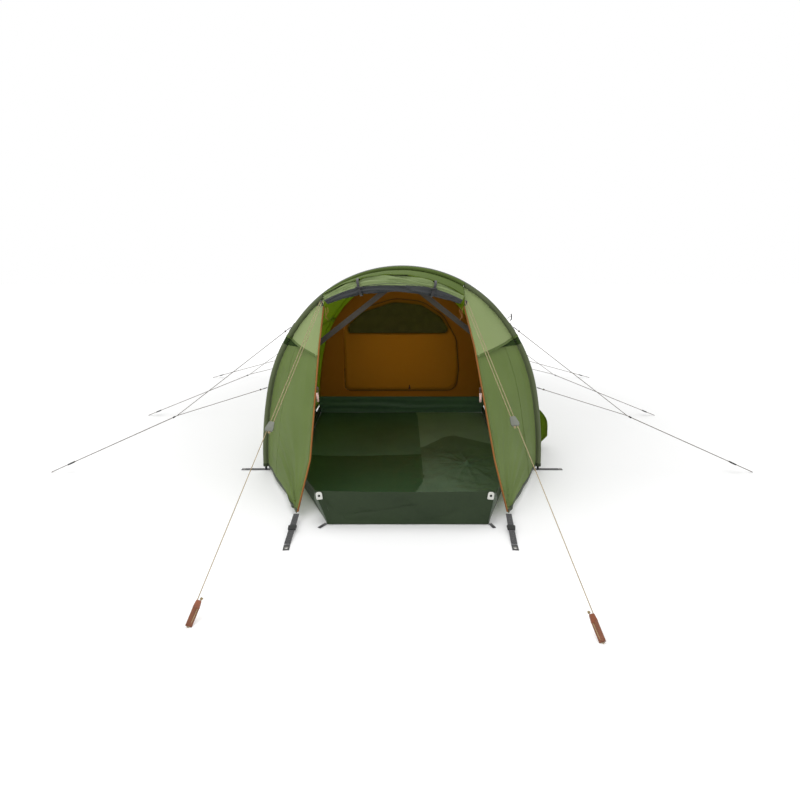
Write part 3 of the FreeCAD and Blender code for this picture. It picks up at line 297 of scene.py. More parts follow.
M["zip_dark"] = hard("zip_coil", (0.045, 0.022, 0.012), rough=0.5, grain=500.0, bump=0.5)
M["zip_brown"] = hard("inner_zip_coil", (0.085, 0.032, 0.008), rough=0.6, grain=500.0, bump=0.5)
M["binding"] = fabric("hem_binding", (0.022, 0.032, 0.013), (0.036, 0.050, 0.020), rough=0.55, uv=False, thread=500.0, sheen=0.1, spec=0.2)
M["cord"] = braid("guy_cord", (0.20, 0.130, 0.050), (0.52, 0.40, 0.20))
M["cord_dark"] = braid("side_guy_cord", (0.030, 0.018, 0.010), (0.105, 0.066, 0.040))
M["orange_cord"] = braid("orange_cord", (0.30, 0.11, 0.02), (0.50, 0.22, 0.05))
M["rust_web"] = webbing("peg_loop_webbing", (0.10, 0.028, 0.010), (0.24, 0.075, 0.025))
M["pole"] = hard("pole_alloy", (0.045, 0.048, 0.050), rough=0.30, metallic=0.85, grain=240.0, bump=0.08)
M["alloy"] = hard("bare_alloy", (0.62, 0.62, 0.63), rough=0.32, metallic=1.0, grain=240.0, bump=0.08)
M["eyelet"] = hard("plated_eyelet", (0.35, 0.34, 0.32), rough=0.34, metallic=1.0, grain=200.0)
M["black"] = hard("black_plastic", (0.012, 0.012, 0.013), rough=0.42)
M["grey"] = hard("grey_plastic", (0.135, 0.145, 0.115), rough=0.45)
M["rust"] = hard("rust_plastic", (0.20, 0.055, 0.018), rough=0.45)
M["pink"] = fabric("pull_tab_tape", (0.50, 0.33, 0.29), (0.66, 0.47, 0.42), rough=0.6, uv=False, thread=700.0)
M["elastic"] = hard("elastic_cord", (0.03, 0.03, 0.032), rough=0.7)


# ------------------------------------------------------------------ hoop curve, as in the frame (metres)
P1, P2 = math.radians(48), math.radians(78)


class Hoop:
    def __init__(self, y, a, h):
        self.y, self.a, self.h = y, a, h
        self.R1 = (a - 0.10534 * h) / 0.95996
        self.R2 = 1.35 * self.R1
        self.R3 = (h - 0.9535 * self.R1) / 0.2079
        self.c1 = (0.0, h - self.R1)
        self.c2 = (self.c1[0] - (self.R2 - self.R1) * math.sin(P1), self.c1[1] - (self.R2 - self.R1) * math.cos(P1))
        self.c3 = (self.c2[0] - (self.R3 - self.R2) * math.sin(P2), self.c2[1] - (self.R3 - self.R2) * math.cos(P2))

    def at(self, phi, d=0.0):
        s, p = (1 if phi >= 0 else -1), abs(phi)
        c, r = (self.c1, self.R1) if p <= P1 else (self.c2, self.R2) if p <= P2 else (self.c3, self.R3)
        return s * (c[0] + (r - d) * math.sin(p)), c[1] + (r - d) * math.cos(p)

    def phi_z(self, z, d=0.0):
        lo, hi = 0.0, math.pi / 2 + 0.05
        for _ in range(48):
            mid = (lo + hi) / 2
            lo, hi = (mid, hi) if self.at(mid, d)[1] > z else (lo, mid)
        return (lo + hi) / 2

    def phi_x(self, x, d=0.0):
        lo, hi = 0.0, math.pi / 2
        for _ in range(48):
            mid = (lo + hi) / 2
            lo, hi = (mid, hi) if self.at(mid, d)[0] < abs(x) else (lo, mid)
        return math.copysign((lo + hi) / 2, x)

    def length(self, phi, d=0.0):
        p = abs(phi)
        s = min(p, P1) * (self.R1 - d) + max(0.0, min(p, P2) - P1) * (self.R2 - d) + max(0.0, p - P2) * (self.R3 - d)
        return math.copysign(s, phi)

    def phi_len(self, s, d=0.0):
        q = abs(s)
        l1 = P1 * (self.R1 - d)
        l2 = l1 + (P2 - P1) * (self.R2 - d)
        p = q / (self.R1 - d) if q <= l1 else P1 + (q - l1) / (self.R2 - d) if q <= l2 else P2 + (q - l2) / (self.R3 - d)
        return math.copysign(p, s)


H1, H2, H3, H4 = Hoop(-1.235, 0.750, 1.077), Hoop(-0.085, 0.670, 1.040), Hoop(1.265, 0.600, 0.840), Hoop(1.810, 0.430, 0.550)
I2, I3, I4 = Hoop(-0.065, 0.622, 0.985), Hoop(1.265, 0.535, 0.765), Hoop(1.780, 0.385, 0.490)
POLE_D, FLY_D, T = 0.0125, 0.0256, 0.0024
LEAN = 0.042


def nz(x, y, z, s=1.0):
    return noise.noise(V((x * s, y * s, z * s)))


def lerp(a, b, f):
    return a + (b - a) * f


def smooth(x, a, b):
    t = max(0.0, min(1.0, (x - a) / (b - a)))
    return t * t * (3 - 2 * t)


# ------------------------------------------------------------------ mesh helpers
def link(name, me):
    o = bpy.data.objects.new(name, me)
    scene.collection.objects.link(o)
    return o


def grid_points(f, nu, nv):
    return np.array([[f(i / (nu - 1), j / (nv - 1)) for j in range(nv)] for i in range(nu)], float)


def sheet_mesh(name, pts, t, mats, inward=1, body="tent", closed_v=False, uvs=None, smooth_shade=True):
    """Cloth from a grid of points, with real thickness: outer face, inner face and edges. mats = [outer, inner]."""
    nu, nv = pts.shape[:2]
    du = np.empty_like(pts)
    du[1:-1] = pts[2:] - pts[:-2]
    du[0], du[-1] = pts[1] - pts[0], pts[-1] - pts[-2]
    dv = np.empty_like(pts)
    if closed_v:
        dv = np.roll(pts, -1, 1) - np.roll(pts, 1, 1)
    else:
        dv[:, 1:-1] = pts[:, 2:] - pts[:, :-2]
        dv[:, 0], dv[:, -1] = pts[:, 1] - pts[:, 0], pts[:, -1] - pts[:, -2]
    n = np.cross(du, dv)
    n /= np.maximum(np.linalg.norm(n, axis=2, keepdims=True), 1e-12)
    inner = pts + n * t * inward
    verts = np.concatenate([pts.reshape(-1, 3), inner.reshape(-1, 3)])
    N = nu * nv
    faces, mi = [], []
    jn = nv if closed_v else nv - 1
    for i in range(nu - 1):
        for j in range(jn):
            k = (j + 1) % nv
            a, b, c, d = i * nv + j, i * nv + k, (i + 1) * nv + k, (i + 1) * nv + j
            if inward > 0:
                faces += [(a, d, c, b), (a + N, b + N, c + N, d + N)]
            else:
                faces += [(a, b, c, d), (a + N, d + N, c + N, b + N)]
            mi += [0, 1]
    rim = []
    if closed_v:
        rim.append([(0, j) for j in range(nv)] + [(0, 0)])
        rim.append([(nu - 1, j) for j in range(nv - 1, -1, -1)] + [(nu - 1, nv - 1)])
    else:
        r = [(0, j) for j in range(nv)] + [(i, nv - 1) for i in range(1, nu)] + [(nu - 1, j) for j in range(nv - 2, -1, -1)] + [(i, 0) for i in range(nu - 2, -1, -1)]
        rim.append(r)
    for r in rim:
        for (i0, j0), (i1, j1) in zip(r, r[1:]):
            a, b = i0 * nv + j0, i1 * nv + j1
            faces.append((a, b, b + N, a + N) if inward > 0 else (a, a + N, b + N, b))
            mi.append(0)
    me = bpy.data.meshes.new(name)
    me.from_pydata([tuple(v) for v in verts], [], faces)
    for m in mats:
        me.materials.append(m)
    me.polygons.foreach_set("material_index", mi)
    me.polygons.foreach_set("use_smooth", [smooth_shade] * len(faces))
    # UV in metres of cloth
    su = np.concatenate([[0], np.cumsum(np.linalg.norm(np.diff(pts, axis=0), axis=2).mean(1))])
    sv = np.concatenate([[0], np.cumsum(np.linalg.norm(np.diff(pts, axis=1), axis=2).mean(0))])
    uv = me.uv_layers.new(name="UVMap")
    lv = np.empty(len(me.loops), np.int64)
    me.loops.foreach_get("vertex_index", lv)
    k = lv % N
    co = np.stack([sv[k % nv], su[k // nv]], 1)
    uv.data.foreach_set("uv", co.astype(np.float32).ravel())
    me.update()
    o = link(name, me)
    if body:
        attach(o, body)
    return o


def tube_mesh(name, path, radius, mat, body="tent", sides=10, caps=True, squash=None, up=(0, 0, 1)):
    """Round or flat-section tube along a list of points. squash=(half width, half height) makes it a band."""
    pts = [V(p) for p in path]
    n = len(pts)
    verts, faces = [], []
    prev = None
    for k, p in enumerate(pts):
        t = (pts[min(k + 1, n - 1)] - pts[max(k - 1, 0)]).normalized()
        if prev is None:
            u = V(up)
            u = (u - t * u.dot(t))
            if u.length < 1e-5:
                u = V((1, 0, 0)) - t * t.x
            u.normalize()
        else:
            u = (prev - t * prev.dot(t)).normalized()
        prev = u
        w = t.cross(u)
        r = radius(k / (n - 1)) if callable(radius) else radius
        for s in range(sides):
            a = 2 * math.pi * s / sides
            if squash:
                ca, sa = math.cos(a), math.sin(a)
                e = 0.35
                x = math.copysign(abs(ca) ** e, ca) * squash[0]
                y = math.copysign(abs(sa) ** e, sa) * squash[1]
            else:
                x, y = math.cos(a) * r, math.sin(a) * r
            verts.append(p + w * x + u * y)
    for k in range(n - 1):
        for s in range(sides):
            a, b = k * sides + s, k * sides + (s + 1) % sides
            faces.append((a, b, b + sides, a + sides))
    if caps:
        faces.append(tuple(range(sides - 1, -1, -1)))
        faces.append(tuple(range((n - 1) * sides, n * sides)))
    me = bpy.data.meshes.new(name)
    me.from_pydata([tuple(v) for v in verts], [], faces)
    me.materials.append(mat)
    me.polygons.foreach_set("use_smooth", [True] * len(faces))
    uv = me.uv_layers.new(name="UVMap")
    L = [0.0]
    for a, b in zip(pts, pts[1:]):
        L.append(L[-1] + (b - a).length)
    for poly in me.polygons:
        for li in poly.loop_indices:
            vi = me.loops[li].vertex_index
            uv.data[li].uv = ((vi % sides) / sides * 0.02, L[vi // sides])
    me.update()
    o = link(name, me)
    if body:
        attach(o, body)
    return o


def join(name, objs, body="tent"):
    """One piece from several meshes."""
    mats, verts, faces, mi, uvs = [], [], [], [], []
    for o in objs:
        base = len(verts)
        verts += [tuple(v.co) for v in o.data.vertices]
        idx = []
        for m in o.data.materials:
            if m not in mats:
                mats.append(m)
            idx.append(mats.index(m))
        uvl = o.data.uv_layers.active
        for p in o.data.polygons:
            faces.append(tuple(base + v for v in p.vertices))
            mi.append(idx[p.material_index] if idx else 0)
            for li in p.loop_indices:
                uvs.append(tuple(uvl.data[li].uv) if uvl else (0, 0))
    me = bpy.data.meshes.new(name)
    me.from_pydata(verts, [], faces)
    for m in mats:
        me.materials.append(m)
    me.polygons.foreach_set("material_index", mi)
    me.polygons.foreach_set("use_smooth", [True] * len(faces))
    uv = me.uv_layers.new(name="UVMap")
    uv.data.foreach_set("uv", np.array(uvs, np.float32).ravel())
    me.update()
    for o in objs:
        d = o.data
        bpy.data.objects.remove(o)
        bpy.data.meshes.remove(d)
    out = link(name, me)
    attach(out, body)
    return out


def declare(o):
    """Gathers a cloth's vertices into triangles; the result is not kept or stated."""
    me = o.data
    me.calc_loop_triangles()
    co = np.empty(len(me.vertices) * 3)
    me.vertices.foreach_get("co", co)
    co = co.reshape(-1, 3)
    tri = np.empty(len(me.loop_triangles) * 3, np.int64)
    me.loop_triangles.foreach_get("vertices", tri)
    tri = co[tri.reshape(-1, 3)]


def set_mat(node, *mats):
    o = NODES[node]
    o.data.materials.clear()
    for m in mats:
        o.data.materials.append(m)


def outline(points, radii, step=0.01, grow=0.0):
    """Rounded closed outline as points (x, z), all the way round."""
    n, out = len(points), []
    pts2 = [V(p) for p in points]
    for k in range(n):
        a, b, c = pts2[k - 1], pts2[k], pts2[(k + 1) % n]
        u, w = (a - b).normalized(), (c - b).normalized()
        ang = math.acos(max(-1, min(1, u.dot(w))))
        r = radii[k]
        t = r / math.tan(ang / 2)
        p, q = b + u * t, b + w * t
        cen = b + (u + w).normalized() * (r / math.sin(ang / 2))
        a0 = math.atan2(p.y - cen.y, p.x - cen.x)
        a1 = math.atan2(q.y - cen.y, q.x - cen.x)
        da = (a1 - a0 + math.pi) % (2 * math.pi) - math.pi
        m = max(3, int(abs(da) * r / step) + 2)
        for i in range(m):
            f = a0 + da * i / (m - 1)
            out.append((cen.x + math.cos(f) * r, cen.y + math.sin(f) * r))
    # even spacing
    dense = []
    for (x0, z0), (x1, z1) in zip(out, out[1:] + out[:1]):
        L = math.hypot(x1 - x0, z1 - z0)
        m = max(1, int(L / step))
        dense += [(lerp(x0, x1, i / m), lerp(z0, z1, i / m)) for i in range(m)]
    if grow:
        cx, cz = sum(p[0] for p in dense) / len(dense), sum(p[1] for p in dense) / len(dense)
        g = []
        for i, (x, z) in enumerate(dense):
            x0, z0 = dense[i - 1]
            x1, z1 = dense[(i + 1) % len(dense)]
            tx, tz = x1 - x0, z1 - z0
            L = math.hypot(tx, tz)
            nx, nz_ = tz / L, -tx / L
            if (x - cx) * nx + (z - cz) * nz_ < 0:
                nx, nz_ = -nx, -nz_
            g.append((x + nx * grow, z + nz_ * grow))
        dense = g
    return dense


# ------------------------------------------------------------------ guy lines: the cords come first
CORDS = {
    "guy_cord_left_front": ([(-0.585526, -1.235671, 0.756135), (-1.184825, -1.260997, 0.307077), (-1.874825, -1.284997, 0.002177), (-1.875175, -1.273003, 0.002023), (-1.185175, -1.249003, 0.306923), (-0.728653, -1.236031, 0.447995)], 2.7441),
    "guy_cord_right_front": ([(0.585526, -1.235671, 0.756135), (1.184825, -1.260997, 0.307077), (1.874825, -1.284997, 0.002177), (1.875175, -1.273003, 0.002023), (1.185175, -1.249003, 0.306923), (0.728653, -1.236031, 0.447995)], 2.7441),
    "guy_cord_left_middle": ([(-0.550684, -0.085358, 0.706426), (-1.119657, -0.100989, 0.300135), (-1.874657, -0.150989, 0.002235), (-1.875343, -0.139011, 0.001965), (-1.120343, -0.089011, 0.299865), (-0.659807, -0.08552, 0.414282)], 2.8076),
    "guy_cord_right_middle": ([(0.550684, -0.085358, 0.706426), (1.119657, -0.100989, 0.300135), (1.874657, -0.150989, 0.002235), (1.875343, -0.139011, 0.001965), (1.120343, -0.089011, 0.299865), (0.659807, -0.08552, 0.414282)], 2.8076),
    "guy_cord_left_rear": ([(-0.471271, 1.264605, 0.587471), (-1.000032, 1.249, 0.239991), (-1.875032, 1.254, 0.002091), (-1.874968, 1.266, 0.002109), (-0.999968, 1.261, 0.240009), (-0.589059, 1.264423, 0.34431)], 2.8777),
    "guy_cord_right_rear": ([(0.471271, 1.264605, 0.587471), (1.000032, 1.249, 0.239991), (1.875032, 1.254, 0.002091), (1.874968, 1.266, 0.002109), (0.999968, 1.261, 0.240009), (0.589059, 1.264423, 0.34431)], 2.8777),
    "front_guy_cord_left": ([(-0.523309, -1.959557, 0.436611), (-0.388086, -1.322816, 0.904401), (-0.399914, -1.321184, 0.905599), (-0.660914, -2.550184, 0.002699), (-0.649086, -2.551816, 0.001501), (-0.634305, -2.482212, 0.052636)], 0.0),
    "front_guy_cord_right": ([(0.437044, -1.962999, 0.459802), (0.304085, -1.322829, 0.904424), (0.315915, -1.321171, 0.905576), (0.585915, -2.621171, 0.002676), (0.574085, -2.622829, 0.001524), (0.558909, -2.549755, 0.052277)], 0.0),
}
CORD_D = 0.003


def with_straights(route):
    """The route's points, with one more about six diameters either side of each ring, hook or peg on the long runs."""
    pts = [V(p) for p in route]
    out = [pts[0]]
    for a, b in zip(pts, pts[1:]):
        L = (b - a).length
        if L > 0.15:
            d = (b - a).normalized()
            out.append(a + d * 0.018)
            out.append(b - d * 0.018)
        out.append(b)
    return out


def spline_length(ob):
    me = bpy.data.meshes.new_from_object(ob)
    L = sum((me.vertices[e.vertices[0]].co - me.vertices[e.vertices[1]].co).length for e in me.edges)
    bpy.data.meshes.remove(me)
    return L


cord_objs = {}
for name, (route, length) in CORDS.items():
    pts = with_straights(route)
    cu = bpy.data.curves.new(name + "_line", "CURVE")
    cu.dimensions = "3D"
    sp = cu.splines.new("NURBS")
    sp.points.add(len(pts) - 1)
    for p, q in zip(sp.points, pts):
        p.co = (*q, 1.0)
    sp.order_u = 3
    sp.use_endpoint_u = True
    cu.resolution_u = 12
    ob = bpy.data.objects.new(name + "_line", cu)
    scene.collection.objects.link(ob)
    bpy.context.view_layer.update()
    L = spline_length(ob)
    cu.bevel_depth = CORD_D / 2
    cu.bevel_resolution = 2
    cu.use_fill_caps = True
    cu.materials.append(M["cord"] if name.startswith("front") else M["cord_dark"])
    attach(ob, "tent")
    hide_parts(name)
    cord_objs[name] = (ob, pts, L)


def knot(name, pos, axis, mat, r=0.0042, body="tent"):
    """Overhand knot: a small trefoil of cord round the axis."""
    axis = V(axis).normalized()
    u = axis.orthogonal().normalized()
    w = axis.cross(u)
    path = []
    for k in range(49):
        t = 2 * math.pi * k / 48
        x = (math.sin(t) + 2 * math.sin(2 * t)) * 0.30
        y = (math.cos(t) - 2 * math.cos(2 * t)) * 0.30
        z = -math.sin(3 * t) * 0.5
        path.append(V(pos) + u * x * r + w * y * r + axis * z * r * 1.3)
    return tube_mesh(name, path, 0.0015, mat, body, 6, False)


for name, (ob, pts, L) in cord_objs.items():
    mat = M["cord"] if name.startswith("front") else M["cord_dark"]
    side = "left" if "left" in name else "right"
    if name.startswith("front"):
        d0 = (pts[0] - pts[1]).normalized()
        k0 = knot(name + "_upper_knot", pts[0] + d0 * 0.001, d0, mat)
        d1 = (pts[-1] - pts[-2]).normalized()
        k1 = knot(name + "_lower_knot", pts[-1] + d1 * 0.001, d1, mat)
        tuple(pts[0])
    else:
        d0, d1 = (pts[1] - pts[0]).normalized(), (pts[-2] - pts[-1]).normalized()
        k0 = knot(name + "_upper_knot", pts[0] + d0 * 0.012, d0, mat)
        k1 = knot(name + "_lower_knot", pts[-1] + d1 * 0.012, d1, mat)
        tuple(pts[0])

# ------------------------------------------------------------------ hardware keeps its CAD shape
for n in NODES:
    if n.startswith("hoop_"):
        set_mat(n, M["pole"])
    elif n.startswith("tensioner") or n.startswith("ladder") or n.startswith("door_toggle") or n in ("guy_rings", "pole_end_caps"):
        set_mat(n, M["black"])
    elif n.startswith("front_tensioner"):
        set_mat(n, M["grey"])
    elif n.startswith("door_zip_slider"):
        set_mat(n, M["zip_dark"])
    elif n == "inner_zip_slider":
        set_mat(n, M["zip_brown"])
set_mat("pole_ferrules", M["alloy"])
set_mat("pole_shock_cords", M["elastic"])
set_mat("peg_eyelets", M["eyelet"])
set_mat("front_guy_peg_fittings", M["rust"])
set_mat("tension_straps", M["grey_web"])
set_mat("peg_straps", M["web"])
set_mat("door_tie_loops", M["web"])
set_mat("inner_hangers", M["web"])
set_mat("guy_tabs", M["web"])
set_mat("lip_tabs", M["white"])
set_mat("vent_mesh_panels", M["mesh"])


# ------------------------------------------------------------------ flysheet bays
def bay_points(ha, hb, da, db, z, ya, yb, nu, nv, sag, ripple):
    pa, pb = ha.phi_z(z, da), hb.phi_z(z, db)
    la, lb = ha.length(pa, da), hb.length(pb, db)

    def f(u, v):
        q = 2 * v - 1
        xa, za = ha.at(ha.phi_len(q * la, da), da)
        xb, zb = hb.at(hb.phi_len(q * lb, db), db)
        x, zz, y = lerp(xa, xb, u), lerp(za, zb, u), lerp(ya, yb, u)
        # tightly pitched cloth pulls in between the hoops, least at the hem
        w = math.sin(math.pi * u) ** 0.8
        edge = smooth(abs(q), 1.0, 0.86)
        r = -sag * w * (0.35 + 0.65 * edge)
        # tension ripples that run from hoop to hoop, and pulls at the guy tabs
        r += ripple * w * (nz(q * 9.0, u * 1.3, 3.1) + 0.6 * nz(q * 23.0, u * 2.0, 7.7)) * (0.4 + 0.6 * edge)
        for t0 in (0.50, 0.74):
            for e in (0.0, 1.0):
                dist = abs(u - e)
                r += -0.0035 * math.exp(-(((abs(q) - t0) / 0.018) ** 2)) * math.exp(-dist / 0.12) * smooth(dist, 0.0, 0.02)
        # hem line cut in a shallow curve
        c = math.hypot(x, zz - 0.35)
        nx, nzv = x / c, (zz - 0.35) / c
        lift = 0.020 * w * smooth(abs(q), 0.93, 1.0)
        return (x + nx * r, y, max(zz + nzv * r + lift, 0.012))
    return grid_points(f, nu, nv)


def bay_cloth(name, node, ha, hb, da, db, ya, yb, nu, nv, sag, ripple, z=0.025):
    pts = bay_points(ha, hb, da, db, z, ya, yb, nu, nv, sag, ripple)
    o = sheet_mesh(name, pts, 0.0010, [M["fly"], M["fly_in"]], inward=1)
    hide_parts(node)
    w, l = 2 * ha.length(ha.phi_z(z, da), da), abs(yb - ya)
    declare(o)
    return o, pts


porch, porch_pts = bay_cloth("porch_bay_cloth", "fly_porch_bay", H1, H2, FLY_D, FLY_D, H1.y + 0.0004, H2.y - 0.0004, 40, 240, 0.020, 0.0035)
sleep_bay, sleep_pts = bay_cloth("sleeping_bay_cloth", "fly_sleeping_bay", H2, H3, FLY_D, FLY_D, H2.y + 0.0004, H3.y - 0.0004, 44, 240, 0.022, 0.0035)
rear_bay, rear_pts = bay_cloth("rear_end_cloth", "fly_rear_end", H3, H4, FLY_D, 0.0, H3.y + 0.0004, H4.y, 28, 200, 0.010, 0.003)


def cap_points(hoop, d, z0, y, nr, nv, lean=0.0, dome=0.0, seed=0.0, amp=0.002):
    """Flat end of an arch, as rings from the arch to its middle line."""
    p = hoop.phi_z(z0, d)
    L = hoop.length(p, d)

    def f(u, v):
        q = 2 * v - 1
        x, z = hoop.at(hoop.phi_len(q * L, d), d)
        xb = x * 0.92
        zz = lerp(z, z0, u)
        k = 4 * u * (1 - u)
        yy = y + lean * (1 - (zz - z0) / (hoop.h - z0)) + dome * k + amp * nz(x * 5 + seed, zz * 5, 1.7) * smooth(u, 0, 0.12)
        return (lerp(x, x, u), yy, zz)
    return grid_points(f, nr, nv)


rw = cap_points(H4, 0.0, 0.025, H4.y + 0.0006, 30, 120, dome=0.0)
rear_wall = sheet_mesh("rear_wall_cloth", rw, 0.0012, [M["side"], M["fly_in"]], inward=-1)
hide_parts("fly_rear_wall")
declare(rear_wall)


def strip_on(pts, j0, width, lift, name, mat, along="u", body="tent", t=0.0007, sgn=1):
    """A narrow tape that follows grid line j0 of a cloth's points."""
    nu, nv = pts.shape[:2]
    line = pts[:, j0] if along == "u" else pts[j0]
    other = pts[:, min(j0 + 1, nv - 1)] - pts[:, max(j0 - 1, 0)] if along == "u" else pts[min(j0 + 1, nu - 1)] - pts[max(j0 - 1, 0)]
    other = other / np.linalg.norm(other, axis=1, keepdims=True)
    tan = np.gradient(line, axis=0)
    n = np.cross(tan, other)
    n /= np.linalg.norm(n, axis=1, keepdims=True)
    n *= sgn
    rows = np.stack([line + other * w * width + n * (lift + 0.0007 * (1 - (2 * w) ** 2)) for w in np.linspace(-0.5, 0.5, 5)], 1)
    return sheet_mesh(name, rows, t, [mat, mat], inward=-1 if along == "u" else 1, body=body)


seams = []
for tag, pts in (("porch", porch_pts), ("sleep", sleep_pts), ("rear", rear_pts)):
    nv = pts.shape[1]
    for k, fr in enumerate((0.27, 0.73)):
        seams.append(strip_on(pts, int(fr * (nv - 1)), 0.014, 0.0006, "seam_%s_%d" % (tag, k), M["side"], sgn=-1))
    for k, j in enumerate((2, nv - 3)):
        seams.append(strip_on(pts, j, 0.022, 0.0008, "hem_%s_%d" % (tag, k), M["binding"], sgn=-1))
flat_seams = join("flysheet_seam_tapes", seams)

# ------------------------------------------------------------------ pole sleeves, gathered along their stitching
sleeve_objs = []
for hoop, tag in ((H1, "front"), (H2, "middle"), (H3, "rear")):
    ph = hoop.phi_z(0.245, POLE_D)
    L = hoop.length(ph, POLE_D)
    nu, nv = 420, 20

    def f(u, v, hoop=hoop, L=L):
        phi = hoop.phi_len((2 * u - 1) * L, POLE_D)
        cx, cz = hoop.at(phi, POLE_D)
        a = 2 * math.pi * v
        s = 1 if phi >= 0 else -1
        nx, nzv = math.sin(phi), math.cos(phi)
        ss = (2 * u - 1) * L
        puck = 0.0011 * math.sin(ss * 2 * math.pi / 0.013 + 2.0 * nz(ss * 6, 0, 0)) * (0.5 + 0.5 * nz(ss * 9, 1, 1)) + 0.0008 * nz(ss * 40, a, 2.0)
        down = smooth(math.cos(a), -0.2, -1.0)
        r = 0.0104 + puck * (0.4 + 0.6 * down)
        oy = math.sin(a) * r * (1.0 - 0.25 * down)
        on = math.cos(a) * r
        return (cx + nx * on, hoop.y + oy, cz + nzv * on)
    pts = grid_points(f, nu, nv + 1)[:, :nv]
    sleeve_objs.append(sheet_mesh("sleeve_" + tag, pts, 0.0007, [M["sleeve"], M["sleeve"]], inward=-1, closed_v=True))
sleeves = join("pole_sleeve_cloth", sleeve_objs)
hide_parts("pole_sleeves")
declare(sleeves)


# ------------------------------------------------------------------ front side panels
def door_edge(s, side=1):
    tip, low = V((side * 0.460, -1.828, 0.030)), V((side * 0.420, -1.685, 0.220))
    high, top = V((side * 0.376 - LEAN * 0.62, -1.423, 0.690)), V((side * 0.346 - LEAN, -1.300, 0.893))
    if s <= 0.2:
        return lerp(tip, low, s / 0.2)
    if s <= 0.78:
        return lerp(low, high, (s - 0.2) / 0.58)
    return lerp(high, top, (s - 0.78) / 0.22)


def over_sleeve(z, side, theta, r=0.0150):
    """Point on a cloth that is drawn over the front of the front hoop's sleeve."""
    ph = side * H1.phi_z(z, FLY_D)
    cx, cz = H1.at(ph, POLE_D)
    nx, nzv = math.sin(ph), math.cos(ph)
    return V((cx - nx * math.cos(theta) * r, H1.y - math.sin(theta) * r, cz - nzv * math.cos(theta) * r))


def panel_grid(side, s0, s1, z0, z1, nu, nv, bulge, folds):
    def f(u, v):
        e = door_edge(lerp(s0, s1, u), side)
        z = lerp(z0, z1, u)
        if v > 0.93:
            return tuple(over_sleeve(z, side, lerp(0.30, 2.5, (v - 0.93) / 0.07)))
        v = v / 0.93
        hp = over_sleeve(z, side, 0.30)
        p = lerp(e, hp, v)
        k = 4 * v * (1 - v)
        n = V((side * 0.62, -0.78, 0.0))
        out = bulge * k * smooth(u, -0.1, 0.25)
        if folds:
            # folds that fan out from the pegged tip, and one that runs down from the hood
            d = (p - door_edge(0, side)).length
            ang = math.atan2(v * 0.55, max(u, 1e-3))
            env = math.exp(-d / 0.30) * smooth(d, 0.0, 0.06) * smooth(v, 0.0, 0.10) * smooth(v, 1.0, 0.80)
            ridge = 1 - abs(nz(ang * 5.2 + side * 3.0, d * 1.1, 1.5 + side)) * 2.2
            out += 0.0170 * env * (ridge - 0.5) + 0.0050 * env * math.sin(ang * 23.0 + d * 9 + side)
            out += 0.0060 * k * nz(hp.x * 3 + v * 2, z * 2.2, side * 3.0) + 0.0026 * k * nz(v * 7, z * 4, 5 + side)
            out += -0.004 * math.exp(-((v - 0.86) / 0.05) ** 2) * smooth(u, 1.0, 0.6)
        return tuple(p + n * out)
    return grid_points(f, nu, nv)


def cover(o, pts, v0, mat):
    """The strip of a front cloth that wraps the pole sleeve is a darker cloth."""
    o.data.materials.append(mat)
    k, nv = len(o.data.materials) - 1, pts.shape[1]
    for poly in o.data.polygons:
        if min(i % nv for i in poly.vertices) >= v0 * (nv - 1):
            poly.material_index = k


panel_pts = {}
for side, name in ((-1, "left"), (1, "right")):
    pts = panel_grid(side, 0.0, 0.775, 0.025, 0.680, 130, 84, 0.010, True)
    panel_pts[side] = pts
    o = sheet_mesh("front_panel_cloth_" + name, pts, 0.0011, [M["fly"], M["fly_in"]], inward=-1 if side < 0 else 1)
    cover(o, pts, 0.915, M["edge"])
    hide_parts("front_panel_" + name)
    declare(o)
    hem = [strip_on(pts, 1, 0.018, 0.0006, "panel_hem_" + name, M["binding"], along="v", sgn=side)]
    hem.append(strip_on(pts, 2, 0.012, 0.0006, "panel_edge_" + name, M["fly"], along="u", sgn=-side))
    hem.append(strip_on(pts, 52, 0.010, 0.0006, "panel_seam_" + name, M["fly"], along="u", sgn=-side))
    join("front_panel_seams_" + name, hem)

HOOD_TOP = {side: H1.at(H1.phi_x(0.346 - side * LEAN, FLY_D), FLY_D)[1] - 0.001 for side in (-1, 1)}
for side, name in ((-1, "left"), (1, "right")):
    def f(u, v, side=side):
        e = door_edge(lerp(0.73, 0.985, u), side)
        z = lerp(0.712, HOOD_TOP[side], u)
        if v > 0.90:
            return tuple(over_sleeve(z, side, lerp(0.30, lerp(2.3, 1.9, u), (v - 0.90) / 0.10), 0.0168))
        v = v / 0.90
        hp = over_sleeve(z, side, 0.30, 0.0168)
        p = lerp(e, hp, v)
        out = 0.022 * (1 - u) ** 0.9 * 4 * v * (1 - v)
        out += 0.0018 * nz(v * 5, u * 3, 9 + side) * 4 * v * (1 - v)
        return tuple(p + V((side * 0.0003, -0.0046 * (1 - v), 0)) + V((side * 0.55, -0.83, 0.08)) * out)
    pts = grid_points(f, 48, 60)
    o = sheet_mesh("vent_hood_cloth_" + name, pts, 0.0012, [M["hood"], M["fly_in"]], inward=-1 if side < 0 else 1)
    cover(o, pts, 0.89, M["edge"])
    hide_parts("vent_hood_" + name)
    declare(o)
    lip = [strip_on(pts, 1, 0.012, 0.0005, "hood_lip_" + name, M["side"], along="v", sgn=side)]
    lip.append(strip_on(pts, 2, 0.010, 0.0005, "hood_edge_" + name, M["hood"], along="u", sgn=-side))
    join("vent_hood_binding_" + name, lip)


def wall_pt(y, z, d):
    f = (y - H1.y) / (H2.y - H1.y)
    xa = H1.at(H1.phi_z(z, d), d)[0]
    xb = H2.at(H2.phi_z(z, d), d)[0]
    return V((lerp(xa, xb, f), y, z))


